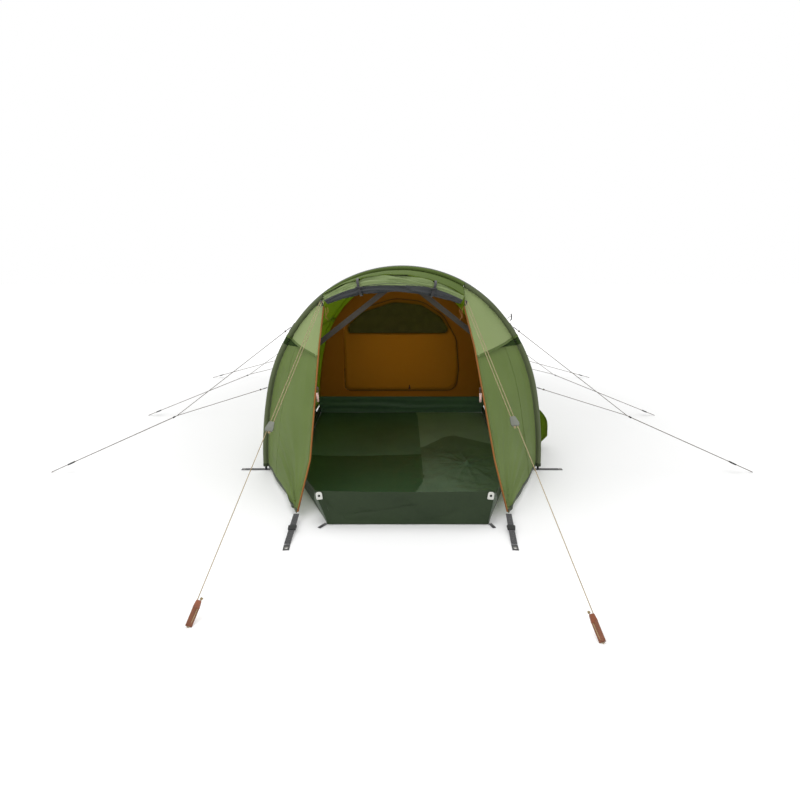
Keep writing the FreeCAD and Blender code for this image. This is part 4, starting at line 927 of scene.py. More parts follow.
YF, YB = -1.880, -0.069
PLAN = {-1: [(0.318, YF), (0.572, -1.290), (0.612, YB)], 1: [(0.364, YF), (0.572, -1.290), (0.612, YB)]}


def plan_x(y, side):
    for (x0, y0), (x1, y1) in zip(PLAN[side], PLAN[side][1:]):
        if y <= y1:
            return lerp(x0, x1, (y - y0) / (y1 - y0))
    return PLAN[side][-1][0]


# dark strip behind the gap under each hood, drawn over the sleeve: painted shadow, a dark sheet where the hood's shade
# falls
shade = []
for side, name in ((-1, "left"), (1, "right")):
    def f(u, v, side=side):
        z = lerp(0.655, 0.735, u)
        if v > 0.85:
            return tuple(over_sleeve(z, side, lerp(0.30, 2.6, (v - 0.85) / 0.15), 0.0132))
        v = v / 0.85
        e = door_edge(lerp(0.755, 0.80, u), side)
        hp = over_sleeve(z, side, 0.30, 0.0132)
        k = 4 * v * (1 - v)
        return tuple(lerp(e, hp, v) + V((side * 0.004, 0.006, 0)) + V((side * 0.62, -0.78, 0.0)) * (0.007 * k))
    shade.append(sheet_mesh("vent_shade_" + name, grid_points(f, 12, 40), 0.0008, [M["vent"], M["vent"]], inward=-1 if side < 0 else 1))
join("vent_shade_mesh", shade)

# turned-in skirt along the porch bay's lower edges
flaps = []
for side in (-1, 1):
    def f(u, v, side=side):
        y = lerp(H1.y + 0.012, H2.y - 0.004, u)
        w = wall_pt(y, 0.025, FLY_D)
        x = lerp(w.x - 0.001, max(w.x - 0.105, plan_x(y, 1) + 0.004), v)
        return (side * x, y, lerp(0.0262, 0.0035, smooth(v, 0.0, 0.45)) + 0.0012 * nz(y * 9, v * 2, side))
    flaps.append(sheet_mesh("skirt", grid_points(f, 80, 12), 0.0009, [M["binding"], M["binding"]], inward=-1 if side > 0 else 1))
join("porch_skirt", flaps)

# ------------------------------------------------------------------ rolled door and the brow above it
def roll_c(q):
    return V((0.334 * q - LEAN, H1.y - 0.062 - 0.026 * (1 - q * q), 0.990 - 0.079 * abs(q) ** 2.1))


def roll_r(q):
    return 0.024 + 0.020 * (1 - q * q)


TIES = [(-0.178 + 0.014) / 0.334, (0.178 + 0.014) / 0.334]


def roll_pt(u, v):
    q = 2 * u - 1
    c = roll_c(q)
    tan = (roll_c(min(1, q + 0.02)) - roll_c(max(-1, q - 0.02))).normalized()
    fwd = V((0, -1, 0)) - tan * (-tan.y)
    fwd.normalize()
    up = tan.cross(fwd)
    if up.z < 0:
        up = -up
    a = 2 * math.pi * v
    x = q * 0.334
    pinch = sum(math.exp(-((q - t) / 0.045) ** 2) for t in TIES)
    # wound layers: long creases that wander along the roll, deeper between the ties
    tw = 0.9 * math.sin(q * 3.0) + 0.7 * nz(x * 4, 0.3, 0.1)
    cre = 0.0
    for kk, amp, ph in ((3, 0.13, 0.4), (5, 0.12, 1.9), (8, 0.075, 0.8), (13, 0.035, 2.6)):
        s = math.sin(kk * a + ph + tw * (1 + 0.2 * kk) + 1.5 * nz(x * 5, kk, a * 0.3))
        cre += amp * (1 - abs(s)) * 1.5 - amp * 0.6
    cre += 0.05 * nz(math.cos(a) * 2, math.sin(a) * 2, x * 9)
    spiral = 0.10 * (((v + 0.18 * q + 0.08) % 1.0) - 0.5)
    r = roll_r(q) * (0.93 + cre * (1 - 0.5 * pinch) + spiral) - 0.004 * pinch
    r = min(r, roll_r(q) * 1.10)
    return c + fwd * math.cos(a) * r + up * math.sin(a) * r * 0.92


nu, nv = 220, 120
pts = grid_points(lambda u, v: tuple(roll_pt(u, v)), nu, nv + 1)[:, :nv]
# closed ends
c0, c1 = pts[0].mean(0), pts[-1].mean(0)
caps0 = [c0 + (pts[0] - c0) * s for s in (0.02, 0.5, 0.85)]
caps1 = [c1 + (pts[-1] - c1) * s for s in (0.85, 0.5, 0.02)]
full = np.stack(caps0 + list(pts) + caps1)
verts = full.reshape(-1, 3)
R, C = full.shape[:2]
faces, mi = [], []
for i in range(R - 1):
    for j in range(C):
        k = (j + 1) % C
        faces.append((i * C + j, (i + 1) * C + j, (i + 1) * C + k, i * C + k))
        ang = (j / C) % 1.0
        q = 2 * max(0, min(1, (i - 3) / (nu - 1))) - 1
        lo = 0.655 + 0.03 * math.sin(q * 5)
        mi.append(1 if lo < ang < 0.99 - 0.03 * math.cos(q * 4) or ang < 0.005 else 0)
faces.append(tuple(range(C)))
mi.append(0)
faces.append(tuple(range((R - 1) * C + C - 1, (R - 1) * C - 1, -1)))
mi.append(0)
me = bpy.data.meshes.new("rolled_door_cloth")
me.from_pydata([tuple(v) for v in verts], [], faces)
me.materials.append(M["roll"])
me.materials.append(M["lining"])
me.polygons.foreach_set("material_index", mi)
me.polygons.foreach_set("use_smooth", [True] * len(faces))
uv = me.uv_layers.new(name="UVMap")
for poly in me.polygons:
    for li in poly.loop_indices:
        vi = me.loops[li].vertex_index
        uv.data[li].uv = ((vi % C) / C * 0.25, (vi // C) / R * 0.75)
me.update()
roll = link("rolled_door_cloth", me)
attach(roll, "tent")
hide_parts("rolled_front_door")


def brow_pt(u, v):
    q = 2 * v - 1
    x = 0.346 * q - LEAN
    ph = H1.phi_x(x, FLY_D)
    cx, cz = H1.at(ph, POLE_D)
    nx, nzv = math.sin(ph), math.cos(ph)

    def over(theta, r=0.0152):
        return V((cx - nx * math.cos(theta) * r, H1.y - math.sin(theta) * r, cz - nzv * math.cos(theta) * r))
    if u < 0.20:
        return tuple(over(lerp(2.0, 0.30, u / 0.20)))
    u = (u - 0.20) / 0.80
    c, r = roll_c(q), roll_r(q)
    front = V((x, c.y - 0.46 * r, c.z + 0.90 * r + 0.0035))
    p = lerp(over(0.30), front, u)
    p.z += 0.009 * 4 * u * (1 - u) + 0.0035 * smooth(u, 0.1, 1.0) * nz(x * 14, u * 2, 4.4) * (1 - 0.6 * u) + 0.0012 * u * math.sin(x * 60)
    return tuple(p)


pts = grid_points(brow_pt, 34, 120)
brow = sheet_mesh("front_brow_cloth", pts, 0.0012, [M["brow"], M["fly_in"]], inward=-1)
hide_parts("front_brow")
declare(brow)
brow_hem = strip_on(pts, 32, 0.012, 0.0005, "front_brow_hem", M["brow"], along="v", sgn=1)


# ------------------------------------------------------------------ low cowl on the right wall
def cowl_pt(u, v):
    z = lerp(0.345, 0.025, v)
    y = lerp(H1.y + 0.300, H1.y + 0.760, u)
    w = wall_pt(y, max(z, 0.025), FLY_D)
    zz = z * 1000
    if zz >= 95:
        prof = math.sin(min(1.0, max(0.0, (345 - zz) / 175.0)) * math.pi / 2)
    else:
        prof = 1.0 - 0.42 * (95 - zz) / 71.0
    x = w.x + 0.003 + 0.160 * prof * (1 - u) ** 1.1
    x += 0.003 * nz(u * 5, v * 6, 2.0) * math.sin(math.pi * v) * (1 - u)
    return (x, y, z)


pts = grid_points(cowl_pt, 50, 50)
cowl = sheet_mesh("low_vent_cowl_cloth", pts, 0.0012, [M["side"], M["fly_in"]], inward=1)
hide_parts("low_vent_cowl")
declare(cowl)
join("low_vent_binding", [strip_on(pts, 1, 0.014, 0.0006, "cowl_lip", M["binding"], along="v", sgn=1)])

# ------------------------------------------------------------------ door zips: piping, tape and coil along the panel edges
for side, name in ((-1, "left"), (1, "right")):
    path = [door_edge(s, side) + V((-side * 0.0030, -0.0015, 0)) for s in np.linspace(0.004, 0.985, 90)]
    pipe = tube_mesh("door_piping_" + name, path, 0.0034, M["tape"], sides=8)
    band = tube_mesh("door_zip_tape_" + name, [p + V((-side * 0.0028, 0.0045, 0)) for p in path], 0.001, M["tape"], sides=12, squash=(0.0045, 0.0008), up=(1, 0, 0))
    coil_path = []
    n = 900
    for k in range(n):
        s = lerp(0.006, 0.983, k / (n - 1))
        p = door_edge(s, side) + V((-side * 0.0050, -0.0010, 0))
        a = k * 2 * math.pi / 5
        coil_path.append(p + V((math.cos(a) * 0.0013, math.sin(a) * 0.0013, 0)))
    coil = tube_mesh("door_zip_coil_" + name, coil_path, 0.0006, M["zip_dark"], sides=4)
    o = join("door_zip_" + name, [pipe, band, coil])
    if side < 0:
        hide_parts("door_zip_tapes")



# ------------------------------------------------------------------ porch groundsheet
def floor_z(x, y):
    """Height of the loose floor: folds from packing and a rumpled area at the right front."""
    z = 0.0030
    z += 0.0022 * math.exp(-abs(y + 1.02 + 0.01 * math.sin(x * 5)) / 0.006)
    z += 0.0020 * math.exp(-abs(x - 0.115 - 0.01 * nz(y * 2, 0, 3)) / 0.006) * smooth(y, -1.9, -1.2)
    rx, ry = (x - 0.34) / 0.30, (y + 1.30) / 0.42
    m = math.exp(-(rx * rx + ry * ry) ** 1.5)
    rid = 0.0
    for kk in range(7):
        ang = 0.35 + kk * 0.42
        d = (x - 0.36) * math.sin(ang) - (y + 1.20) * math.cos(ang) + 0.02 * nz(x * 5, y * 5, kk)
        along = (x - 0.36) * math.cos(ang) + (y + 1.20) * math.sin(ang)
        rid += 0.0055 * math.exp(-abs(d) / 0.010) * math.exp(-(along / 0.22) ** 2)
    z += m * (0.010 + 0.010 * nz(x * 6, y * 6, 1.0) + 0.006 * nz(x * 15, y * 15, 2.0)) + rid * m
    z += 0.0016 * nz(x * 4, y * 4, 5.0) + 0.0008 * nz(x * 12, y * 12, 6.0)
    return max(0.0012, z)


def floor_pt(u, v):
    y = lerp(YF + 0.004, YB, u)
    x = lerp(-plan_x(y, -1) + 0.004, plan_x(y, 1) - 0.004, v)
    return (x, y, floor_z(x, y))


pts = grid_points(floor_pt, 200, 150)
pts[0, :, 2] = 0.0015
pts[:, 0, 2] = 0.0015
pts[:, -1, 2] = 0.0015
gs_floor = sheet_mesh("gs_floor", pts, 0.0010, [M["tray"], M["tray"], M["tray_mid"], M["tray_lit"], M["tray_rear"]], inward=-1)
# parts between the fold creases get the lit and shaded copies: painted reflection on the right front, painted light on
# the right rear, painted shade on the left front
for poly in gs_floor.data.polygons:
    c = poly.center
    crease = 0.115 + 0.01 * nz(c.y * 2, 0, 3)
    if c.x > crease - 0.10 * smooth(c.y, -1.35, -1.75) and c.y < -0.78 + 0.25 * nz(c.x * 3, 0.5, 2) - 0.9 * max(0, c.x - 0.35):
        poly.material_index = 3
    elif c.x > crease:
        poly.material_index = 4
    elif c.y < -1.02 + 0.01 * math.sin(c.x * 5):
        poly.material_index = 2
gs_parts = [gs_floor]
for side in (-1, 1):
    def f(u, v, side=side):
        y = lerp(YF + 0.006, YB, u)
        h = 0.070 * smooth(u, -0.02, 0.05) * (0.93 + 0.07 * math.cos(u * 9 + side)) + 0.062 * smooth(u, 0.10, 0.0)
        z = lerp(0.0012, h, v)
        x = plan_x(y, side) - 0.001
        inn = 0.012 * math.sin(math.pi * v) * (0.5 + nz(y * 6, 0.2, side * 4.0)) + 0.006 * v * nz(y * 13, v * 2, side)
        return (side * (x - max(0.0, inn)), y, z)
    pts = grid_points(f, 160, 14)
    gs_parts.append(sheet_mesh("gs_wall", pts, 0.0010, [M["tray_side"], M["tray_side"]], inward=-1 if side > 0 else 1))
groundsheet = join("porch_groundsheet_cloth", gs_parts)
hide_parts("porch_groundsheet")
declare(groundsheet)

# raised lip, on its own hinge line, with turned corners
LY = YF - 0.0021


def lip_pt(u, v):
    q = 2 * v - 1
    z = lerp(0.0046, 0.1560, u)
    x = lerp(lerp(-0.316, -0.368, u), lerp(0.362, 0.388, u), v)
    sagz = -0.0065 * u * math.sin(math.pi * (q + 1) / 2) + 0.0022 * u * nz(q * 4, 0, 8)
    # folds stand back from the front face, so the lip still lies on the ground when it is dropped
    f = 0.013 * math.sin(math.pi * u) * nz(q * 3.2, u * 1.6, 2.5) + 0.0040 * nz(q * 11, u * 5, 4.5) * smooth(u, 0, 0.2) * smooth(u, 1.0, 0.85)
    f += 0.004 * math.sin(math.pi * u) * math.sin(q * 7 + u * 3)
    # crease that runs up at a slant from the lower left
    d = (u - 0.25) - 0.35 * (q + 0.8)
    f += 0.0075 * math.exp(-abs(d) / 0.05) * smooth(q, -0.9, -0.5) * smooth(q, 0.5, -0.1)
    y = LY + 0.5 * (f + math.sqrt(f * f + 0.003 ** 2)) * smooth(u, 0.0, 0.10) * smooth(abs(q), 1.0, 0.93)
    return (x, min(y, YF + 0.016), z + sagz)


pts = grid_points(lip_pt, 40, 140)
lip = sheet_mesh("groundsheet_lip_cloth", pts, 0.0011, [M["lip"], M["lip"]], inward=-1, body="lip")
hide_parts("groundsheet_lip")
declare(lip)
lip_trim = [strip_on(pts, 38, 0.008, 0.0006, "lip_top", M["tray_side"], along="v", body="lip", sgn=-1)]
for j in (11, 118):
    lip_trim.append(strip_on(pts, j, 0.009, 0.0006, "lip_seam_%d" % j, M["tray_side"], along="u", body="lip", sgn=1))
join("groundsheet_lip_seams", lip_trim, body="lip")

# holding tabs on the lip's corners, each with a grommet
tabs = []
for cx, tilt in ((-0.350, -6), (0.370, 6)):
    cz, y0 = 0.136, YF - 0.0052
    ct, st = math.cos(math.radians(tilt)), math.sin(math.radians(tilt))
    loop = outline([(-0.013, -0.017), (0.013, -0.017), (0.013, 0.017), (-0.013, 0.017)], [0.004, 0.004, 0.010, 0.010], 0.002)
    ring = np.array([(cx + x * ct + z * st, cz - x * st + z * ct) for x, z in loop])
    mid = np.array([cx, cz])
    rows = np.zeros((7, len(ring), 3))
    for i, f in enumerate((1.0, 0.92, 0.75, 0.55, 0.36, 0.30, 0.26)):
        xz = mid + (ring - mid) * f
        rows[i, :, 0], rows[i, :, 2] = xz[:, 0], xz[:, 1]
        rows[i, :, 1] = y0 - 0.0014 * math.sin(math.pi * min(1, (1 - f) * 1.3))
    tabs.append(sheet_mesh("tab", rows, 0.0012, [M["white"], M["white"]], inward=-1, closed_v=True, body="lip"))
    tabs.append(tube_mesh("tab_grommet", [V((cx + math.cos(a) * 0.0042, y0 - 0.0016, cz + math.sin(a) * 0.0042)) for a in np.linspace(0, 2 * math.pi, 25)], 0.0012, M["black"], body="lip", sides=8, caps=False))
lip_tab_piece = join("lip_tab_pieces", tabs, body="lip")
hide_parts("lip_tabs")

# folded corners between the lip and the groundsheet's sides
for side, xb, xt in ((-1, -0.316, -0.368), (1, 0.362, 0.388)):
    def f(u, v, side=side, xb=xb, xt=xt):
        a = V((lerp(xb, xt, v), LY - 0.0005, lerp(0.0046, 0.152, v)))
        yw = lerp(YF + 0.004, -1.790, v ** 0.9)
        b = V((side * (plan_x(yw, side) + 0.0035), yw, lerp(0.002, 0.066, v)))
        p = lerp(b, a, u)
        out = 0.020 * math.sin(math.pi * u) * v
        return (p.x + side * out * 0.6, p.y - out * 0.35, max(0.0015, p.z - out * 0.5))
    g = sheet_mesh("groundsheet_corner_" + ("left" if side < 0 else "right"), grid_points(f, 26, 22), 0.0009, [M["tray_side"], M["tray_side"]], inward=-1 if side < 0 else 1, body=None)
    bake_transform(g)
    declare(g)

# small webbing pegging tabs at the groundsheet's front corners
tb = []
for x0, x1 in ((-0.326, -0.352), (0.374, 0.386)):
    path = [V((x0, YF + 0.008, 0.0030)), V((lerp(x0, x1, 0.5), YF - 0.010, 0.0022)), V((x1, YF - 0.030, 0.0016))]
    tb.append(tube_mesh("pegging_tab", path, 0.001, M["web"], sides=12, squash=(0.0075, 0.0009), up=(0, 0, 1)))
join("groundsheet_pegging_tabs", tb)

# ------------------------------------------------------------------ inner tent
TW = 0.124
ZB = TW + 0.002


def canopy(name, ha, hb, ya, yb, nu, nv, sag):
    pa, pb = ha.phi_z(ZB), hb.phi_z(ZB)
    la, lb = ha.length(pa), hb.length(pb)

    def f(u, v):
        q = 2 * v - 1
        xa, za = ha.at(ha.phi_len(q * la))
        xb, zb = hb.at(hb.phi_len(q * lb))
        x, z, y = lerp(xa, xb, u), lerp(za, zb, u), lerp(ya, yb, u)
        w = math.sin(math.pi * u)
        # hung from points along the hoops, so it scallops between them
        sc = 0.006 * abs(math.sin(q * 5 * math.pi / 2)) * (abs(2 * u - 1) ** 2)
        r = -sag * w * smooth(abs(q), 1.0, 0.8) - sc * smooth(abs(q), 1.0, 0.9) + 0.004 * w * nz(q * 7, u * 3, 6.0)
        c = math.hypot(x, z - 0.35)
        return (x + x / c * r, y, z + (z - 0.35) / c * r)
    return sheet_mesh(name, grid_points(f, nu, nv), 0.0008, [M["inner_side"], M["inner"]], inward=1)


parts = [canopy("canopy_a", I2, I3, I2.y + 0.003, I3.y, 36, 160, 0.030), canopy("canopy_b", I3, I4, I3.y + 0.0004, I4.y, 16, 120, 0.006)]
parts.append(sheet_mesh("canopy_c", cap_points(I4, 0.0, ZB, I4.y + 0.001, 20, 80, seed=4.0), 0.0008, [M["inner_side"], M["inner"]], inward=-1))
inner_canopy = join("inner_canopy_cloth", parts)
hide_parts("inner_canopy")
declare(inner_canopy)

# floor tray
fx = [(I2.at(I2.phi_z(TW))[0], I2.y + 0.001), (I3.at(I3.phi_z(TW))[0], I3.y), (I4.at(I4.phi_z(TW))[0], I4.y + 0.002)]


def tray_x(y):
    for (x0, y0), (x1, y1) in zip(fx, fx[1:]):
        if y <= y1:
            return lerp(x0, x1, (y - y0) / (y1 - y0))
    return fx[-1][0]


def tray_floor(u, v):
    y = lerp(fx[0][1] + 0.004, fx[-1][1] - 0.004, u)
    x = lerp(-1, 1, v) * (tray_x(y) - 0.004)
    return (x, y, 0.0052 + 0.0015 * nz(x * 5, y * 5, 9.0) + 0.0008 * nz(x * 14, y * 14, 9.0))


tp = [sheet_mesh("tray_f", grid_points(tray_floor, 90, 60), 0.0008, [M["tray"], M["tray"]], inward=-1)]
for side in (-1, 1):
    def f(u, v, side=side):
        y = lerp(fx[0][1] + 0.002, fx[-1][1] - 0.002, u)
        return (side * (tray_x(y) - 0.0015 - 0.006 * math.sin(math.pi * v) * (0.5 + nz(y * 7, v, side))), y, lerp(0.0045, 0.1250, v))
    tp.append(sheet_mesh("tray_w", grid_points(f, 120, 10), 0.0008, [M["tray_side"], M["tray_side"]], inward=-1 if side > 0 else 1))


def front_tray(u, v):
    x = lerp(-1, 1, v) * (fx[0][0] - 0.001)
    z = lerp(0.0045, 0.1250, u)
    # glossy cloth in long sideways folds
    q = x / fx[0][0]
    fold = 0.0040 * math.sin(u * 13 + 0.9 * math.sin(q * 2.4) + 1.4 * nz(q * 2, u, 3)) * math.sin(math.pi * min(1, u * 1.05)) * (1 - 0.25 * q)
    return (x, fx[0][1] - 0.0022 + min(0.0020, fold * 0.75) + 0.0010 * nz(x * 9, z * 30, 1), z)


tp.append(sheet_mesh("tray_front", grid_points(front_tray, 40, 160), 0.0008, [M["tub"], M["tray"]], inward=-1))


def rear_tray(u, v):
    x = lerp(-1, 1, v) * (fx[-1][0] - 0.001)
    return (x, fx[-1][1] - 0.003 + 0.001 * nz(x * 9, u * 3, 1), lerp(0.0045, 0.1250, u))


tp.append(sheet_mesh("tray_rear", grid_points(rear_tray, 12, 60), 0.0008, [M["tray_side"], M["tray_side"]], inward=1))
tray = join("inner_floor_tray_cloth", tp)
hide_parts("inner_floor_tray")
declare(tray)

# front wall with its D-shaped doorway, and the door in it
DOOR = [(-0.420, 0.176), (0.405, 0.176), (0.422, 0.330), (0.400, 0.560), (0.300, 0.730), (0.150, 0.828), (-0.050, 0.850), (-0.290, 0.775), (-0.420, 0.640)]
DR = [0.030, 0.070, 0.120, 0.160, 0.160, 0.200, 0.240, 0.150, 0.060]
WIN = [(-0.390, 0.600), (0.366, 0.600), (0.284, 0.720), (0.146, 0.806), (-0.050, 0.828), (-0.286, 0.754), (-0.390, 0.652)]
WR = [0.020, 0.030, 0.060, 0.120, 0.160, 0.080, 0.030]


def ray_ring(loop, n, c):
    """Points where rays at even angles from c meet a closed loop."""
    P = np.array(loop) - np.array(c)
    ang = np.unwrap(np.arctan2(P[:, 1], P[:, 0]))
    if ang[-1] < ang[0]:
        ang, P = ang[::-1], P[::-1]
    rad = np.hypot(P[:, 0], P[:, 1])
    a = np.concatenate([ang - 2 * np.pi, ang, ang + 2 * np.pi])
    r = np.concatenate([rad, rad, rad])
    t = np.linspace(-np.pi, np.pi, n, endpoint=False)
    rr = np.interp(t, a, r)
    return np.stack([np.cos(t) * rr + c[0], np.sin(t) * rr + c[1]], 1)


def wall_ripple(x, z):
    return 0.0028 * nz(x * 5, z * 3, 0.5) + 0.0012 * nz(x * 13, z * 9, 0.7)


IY = I2.y + 0.0006
nA = 220
arch = []
p = I2.phi_z(ZB, 0.001)
L = I2.length(p, 0.001)
for k in range(161):
    arch.append(I2.at(I2.phi_len((2 * k / 160 - 1) * L, 0.001), 0.001))
arch += [(lerp(arch[-1][0], arch[0][0], k / 60), ZB) for k in range(1, 60)]
CC = (0.0, 0.45)
outer = ray_ring(arch, nA, CC)
hole = ray_ring(outline(DOOR, DR, 0.01, 0.002), nA, CC)
rings = 14
pts = np.zeros((rings, nA, 3))
for i in range(rings):
    f = i / (rings - 1)
    xz = outer * (1 - f) + hole * f
    for j in range(nA):
        amp = math.sin(math.pi * f)
        pts[i, j] = (xz[j, 0], IY + wall_ripple(xz[j, 0], xz[j, 1]) * amp, xz[j, 1])
wall = sheet_mesh("inner_front_wall_cloth", pts, 0.0008, [M["inner_wall"], M["inner_side"]], inward=-1, closed_v=True)
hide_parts("inner_front_wall")
declare(wall)

DY = I2.y - 0.0008
CW = (0.0, 0.69)
dring = ray_ring(outline(DOOR, DR, 0.01, -0.001), nA, CW)
wring = ray_ring(outline(WIN, WR, 0.01, 0.0), nA, CW)
rings = 16
pts = np.zeros((rings, nA, 3))
for i in range(rings):
    f = i / (rings - 1)
    xz = dring * (1 - f) + wring * f
    for j in range(nA):
        amp = math.sin(math.pi * f)
        pts[i, j] = (xz[j, 0], DY + 0.6 * wall_ripple(xz[j, 0] + 3, xz[j, 1]) * amp, xz[j, 1])
door = sheet_mesh("inner_door_cloth", pts, 0.0008, [M["inner"], M["inner_side"]], inward=-1, closed_v=True, body="inner_door_panel")
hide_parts("inner_door")
declare(door)
rings = 14
pts = np.zeros((rings, nA, 3))
for i in range(rings):
    f = i / (rings - 1)
    xz = wring * (1 - f) + np.array(CW) * f
    xz = wring * (1 - f * 0.995) + np.array(CW) * f * 0.995
    for j in range(nA):
        pts[i, j] = (xz[j, 0], DY + 0.0008 + 0.0016 * nz(xz[j, 0] * 5, xz[j, 1] * 5, 2.2) * math.sin(math.pi * min(1, f * 1.2)), xz[j, 1])
dm = sheet_mesh("inner_door_mesh_cloth", pts, 0.0004, [M["door_mesh"], M["door_mesh"]], inward=-1, closed_v=True, body="inner_door_panel")
# planar texture coordinates for the mesh
uvl = dm.data.uv_layers.active
for poly in dm.data.polygons:
    for li in poly.loop_indices:
        co = dm.data.vertices[dm.data.loops[li].vertex_index].co
        uvl.data[li].uv = (co.x, co.z)
for ob in (wall, door):
    uvl = ob.data.uv_layers.active
    for poly in ob.data.polygons:
        for li in poly.loop_indices:
            co = ob.data.vertices[ob.data.loops[li].vertex_index].co
            uvl.data[li].uv = (co.x, co.z)
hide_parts("inner_door_mesh")
declare(dm)

# the door's zip: coil and tape round the outline, bound window edge
zl = outline(DOOR, DR, 0.008, 0.001)
# the left side is sewn, so the zip runs round the other three
zl = [(x, z) for x, z in zl if not (x < -0.392 and z < 0.70)]
zl3 = [V((x, DY - 0.0012, z)) for x, z in zl]
za = tube_mesh("izip_tape", zl3, 0.001, M["inner_side"], body="inner_door_panel", sides=10, squash=(0.0075, 0.0006), up=(0, 1, 0), caps=False)
zb = tube_mesh("izip_coil", [p + V((0, -0.0012, 0)) for p in zl3], 0.0017, M["zip_brown"], body="inner_door_panel", sides=6, caps=False)
wl = outline(WIN, WR, 0.008, 0.002)
wb = tube_mesh("izip_window", [V((x, DY - 0.0006, z)) for x, z in wl] + [V((wl[0][0], DY - 0.0006, wl[0][1]))], 0.001, M["inner_side"], body="inner_door_panel", sides=10, squash=(0.0055, 0.0007), up=(0, 1, 0), caps=False)
join("inner_door_zip", [za, zb, wb], body="inner_door_panel")

# ------------------------------------------------------------------ webbing sleeves on the front guys' peg loops
for side, name in ((-1, "left"), (1, "right")):
    ob, pts, L = cord_objs["front_guy_cord_" + name]
    top, bot = V(CORDS["front_guy_cord_" + name][0][-1]), (V(CORDS["front_guy_cord_" + name][0][3]) + V(CORDS["front_guy_cord_" + name][0][4])) / 2
    A, B, C_, D_ = (V(q) for q in CORDS["front_guy_cord_" + name][0][2:6])
    d_up = (D_ - C_).normalized()
    path = []
    for f in np.linspace(0.03, 0.70, 12):
        c = lerp(C_, D_, f)
        # middle between the two strands
        t = (c - B).dot((A - B).normalized())
        o = B + (A - B).normalized() * t
        path.append((c + o) / 2)
    tube_mesh("front_guy_loop_" + name, path, 0.001, M["rust_web"], sides=14, squash=(0.0105, 0.0034), up=(0, 1, 0.4))

# ------------------------------------------------------------------ small fittings
# loops of webbing at the front door's top corners, and the orange pull cords beside them
extra = []
for side, C in ((-1, V((-0.394, -1.322, 0.905))), (1, V((0.310, -1.322, 0.905)))):
    E = door_edge(0.985, side)
    a = E + V((side * 0.004, 0.002, 0.002))
    path = [a, lerp(a, C, 0.5) + V((0, 0.002, 0.001)), C + V((0, 0.004, 0.004))]
    extra.append(tube_mesh("corner_loop", path, 0.001, M["web"], sides=12, squash=(0.006, 0.0009), up=(0, 0, 1)))
    for k in (0, 1):
        q0 = E + V((-side * (0.010 + 0.012 * k), 0.0, -0.006))
        path = [q0, q0 + V((-side * 0.004, -0.004, -0.018)), q0 + V((-side * (0.002 - 0.012 * k), -0.002, -0.040)), q0 + V((-side * 0.002, 0.001, -0.052 - 0.01 * k))]
        fine = [V(p) for p in path]
        extra.append(tube_mesh("corner_cord", fine, 0.0013, M["orange_cord"], sides=6))
join("door_corner_loops", extra)

# guy tabs seen on the sleeves: a sewn patch under each
patches = []
for hoop, zs in ((H1, (0.770, 0.455)), (H2, (0.720, 0.420)), (H3, (0.600, 0.350))):
    for side in (-1, 1):
        for z in zs:
            ph = side * hoop.phi_z(z, 0.0)
            L0 = hoop.length(ph, 0.0)

            def f(u, v, hoop=hoop, L0=L0):
                phi = hoop.phi_len(L0 + (v - 0.5) * 0.050, -0.0006)
                cx, cz = hoop.at(phi, 0.0125)
                a = (u - 0.5) * 2.2
                r = 0.0136
                nx, nzv = math.sin(phi), math.cos(phi)
                return (cx + nx * math.cos(a) * r, hoop.y + math.sin(a) * r, cz + nzv * math.cos(a) * r)
            patches.append(sheet_mesh("patch", grid_points(f, 10, 8), 0.0006, [M["web"], M["web"]], inward=1))
ph = H1.phi_z(0.812, 0.0)
hx, hz = H1.at(ph, -0.002)
base = V((hx, H1.y + 0.004, hz))
patches.append(tube_mesh("hook_loop", [base, base + V((0.012, 0.0, 0.009)), base + V((0.022, 0, 0.010))], 0.0011, M["web"], sides=6))
patches.append(tube_mesh("hook", [base + V((0.019, 0, 0.024)), base + V((0.022, 0, 0.012)), base + V((0.022, 0, -0.004)), base + V((0.016, 0, -0.010))], 0.0028, M["black"], sides=8))
join("guy_tab_patches", patches)

# pull tabs on the door's zip sliders
for side, name in ((-1, "left"), (1, "right")):
    lo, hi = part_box("door_zip_slider_" + name)
    c = (lo + hi) / 2
    top = V((c.x, lo.y + 0.004, lo.z + 0.004))
    path = [top + V((0, 0, 0.006)), top + V((0, -0.002, -0.004)), top + V((0.001, -0.001, -0.020)), top + V((0.001, 0.0, -0.038))]
    tab = tube_mesh("door_zip_pull_" + name, path, 0.001, M["pink"], body="door_zip_slider_%s_body" % name, sides=12, squash=(0.0055, 0.0012), up=(0, 1, 0))

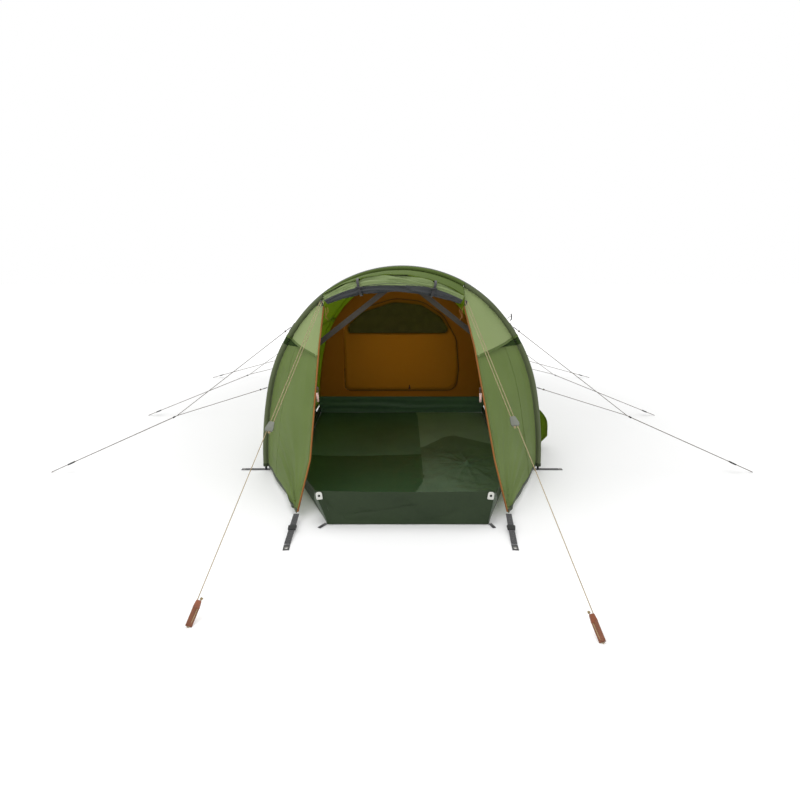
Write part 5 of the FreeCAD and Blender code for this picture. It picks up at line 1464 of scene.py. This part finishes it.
# ------------------------------------------------------------------ studio
bpy.ops.mesh.primitive_plane_add(size=60, location=(0, 0, -0.0006))
floor = bpy.context.object
floor.name = "studio_floor"
fm, fnt, fbs, fout = mat_new("studio_floor")
fbs.inputs["Base Color"].default_value = (0.80, 0.80, 0.80, 1)
fbs.inputs["Roughness"].default_value = 0.9
fbs.inputs["Specular IOR Level"].default_value = 0.1
fbs.inputs["Emission Color"].default_value = (1, 1, 1, 1)
# emission that grows with distance from the origin under the tent: painted light, weak near the tent so the ground
# round it stays darker, strong far off so the floor reads white
geo = fnt.nodes.new("ShaderNodeNewGeometry")
dist = fnt.nodes.new("ShaderNodeVectorMath")
dist.operation = "LENGTH"
fnt.links.new(geo.outputs["Position"], dist.inputs[0])
glow = fnt.nodes.new("ShaderNodeMapRange")
glow.interpolation_type = "SMOOTHSTEP"
for k, val in ((1, 1.3), (2, 3.6), (3, 0.04), (4, 0.34)):
    glow.inputs[k].default_value = val
fnt.links.new(dist.outputs["Value"], glow.inputs[0])
fnt.links.new(glow.outputs[0], fbs.inputs["Emission Strength"])
floor.data.materials.append(fm)
world = bpy.data.worlds.new("studio")
scene.world = world
world.use_nodes = True
world.node_tree.nodes["Background"].inputs[0].default_value = (1, 1, 1, 1)
world.node_tree.nodes["Background"].inputs[1].default_value = 1.0


def area(name, loc, target, size, power, color=(1, 1, 1)):
    d = bpy.data.lights.new(name, "AREA")
    d.shape, d.size, d.energy, d.color = "SQUARE", size, power, color
    o = bpy.data.objects.new(name, d)
    o.location = loc
    o.rotation_euler = (V(target) - V(loc)).to_track_quat("-Z", "Y").to_euler()
    scene.collection.objects.link(o)
    return o


area("top_softbox", (-0.6, -0.8, 4.6), (0, -0.3, 0.3), 3.4, 55)
area("front_softbox", (-2.6, -4.6, 3.2), (0, -1.0, 0.5), 2.0, 26)
area("inner_glow", (0.0, 0.55, 0.56), (0, 0.0, 0.34), 0.36, 2.5, (1.0, 0.84, 0.62))
scene.view_settings.view_transform = "Standard"
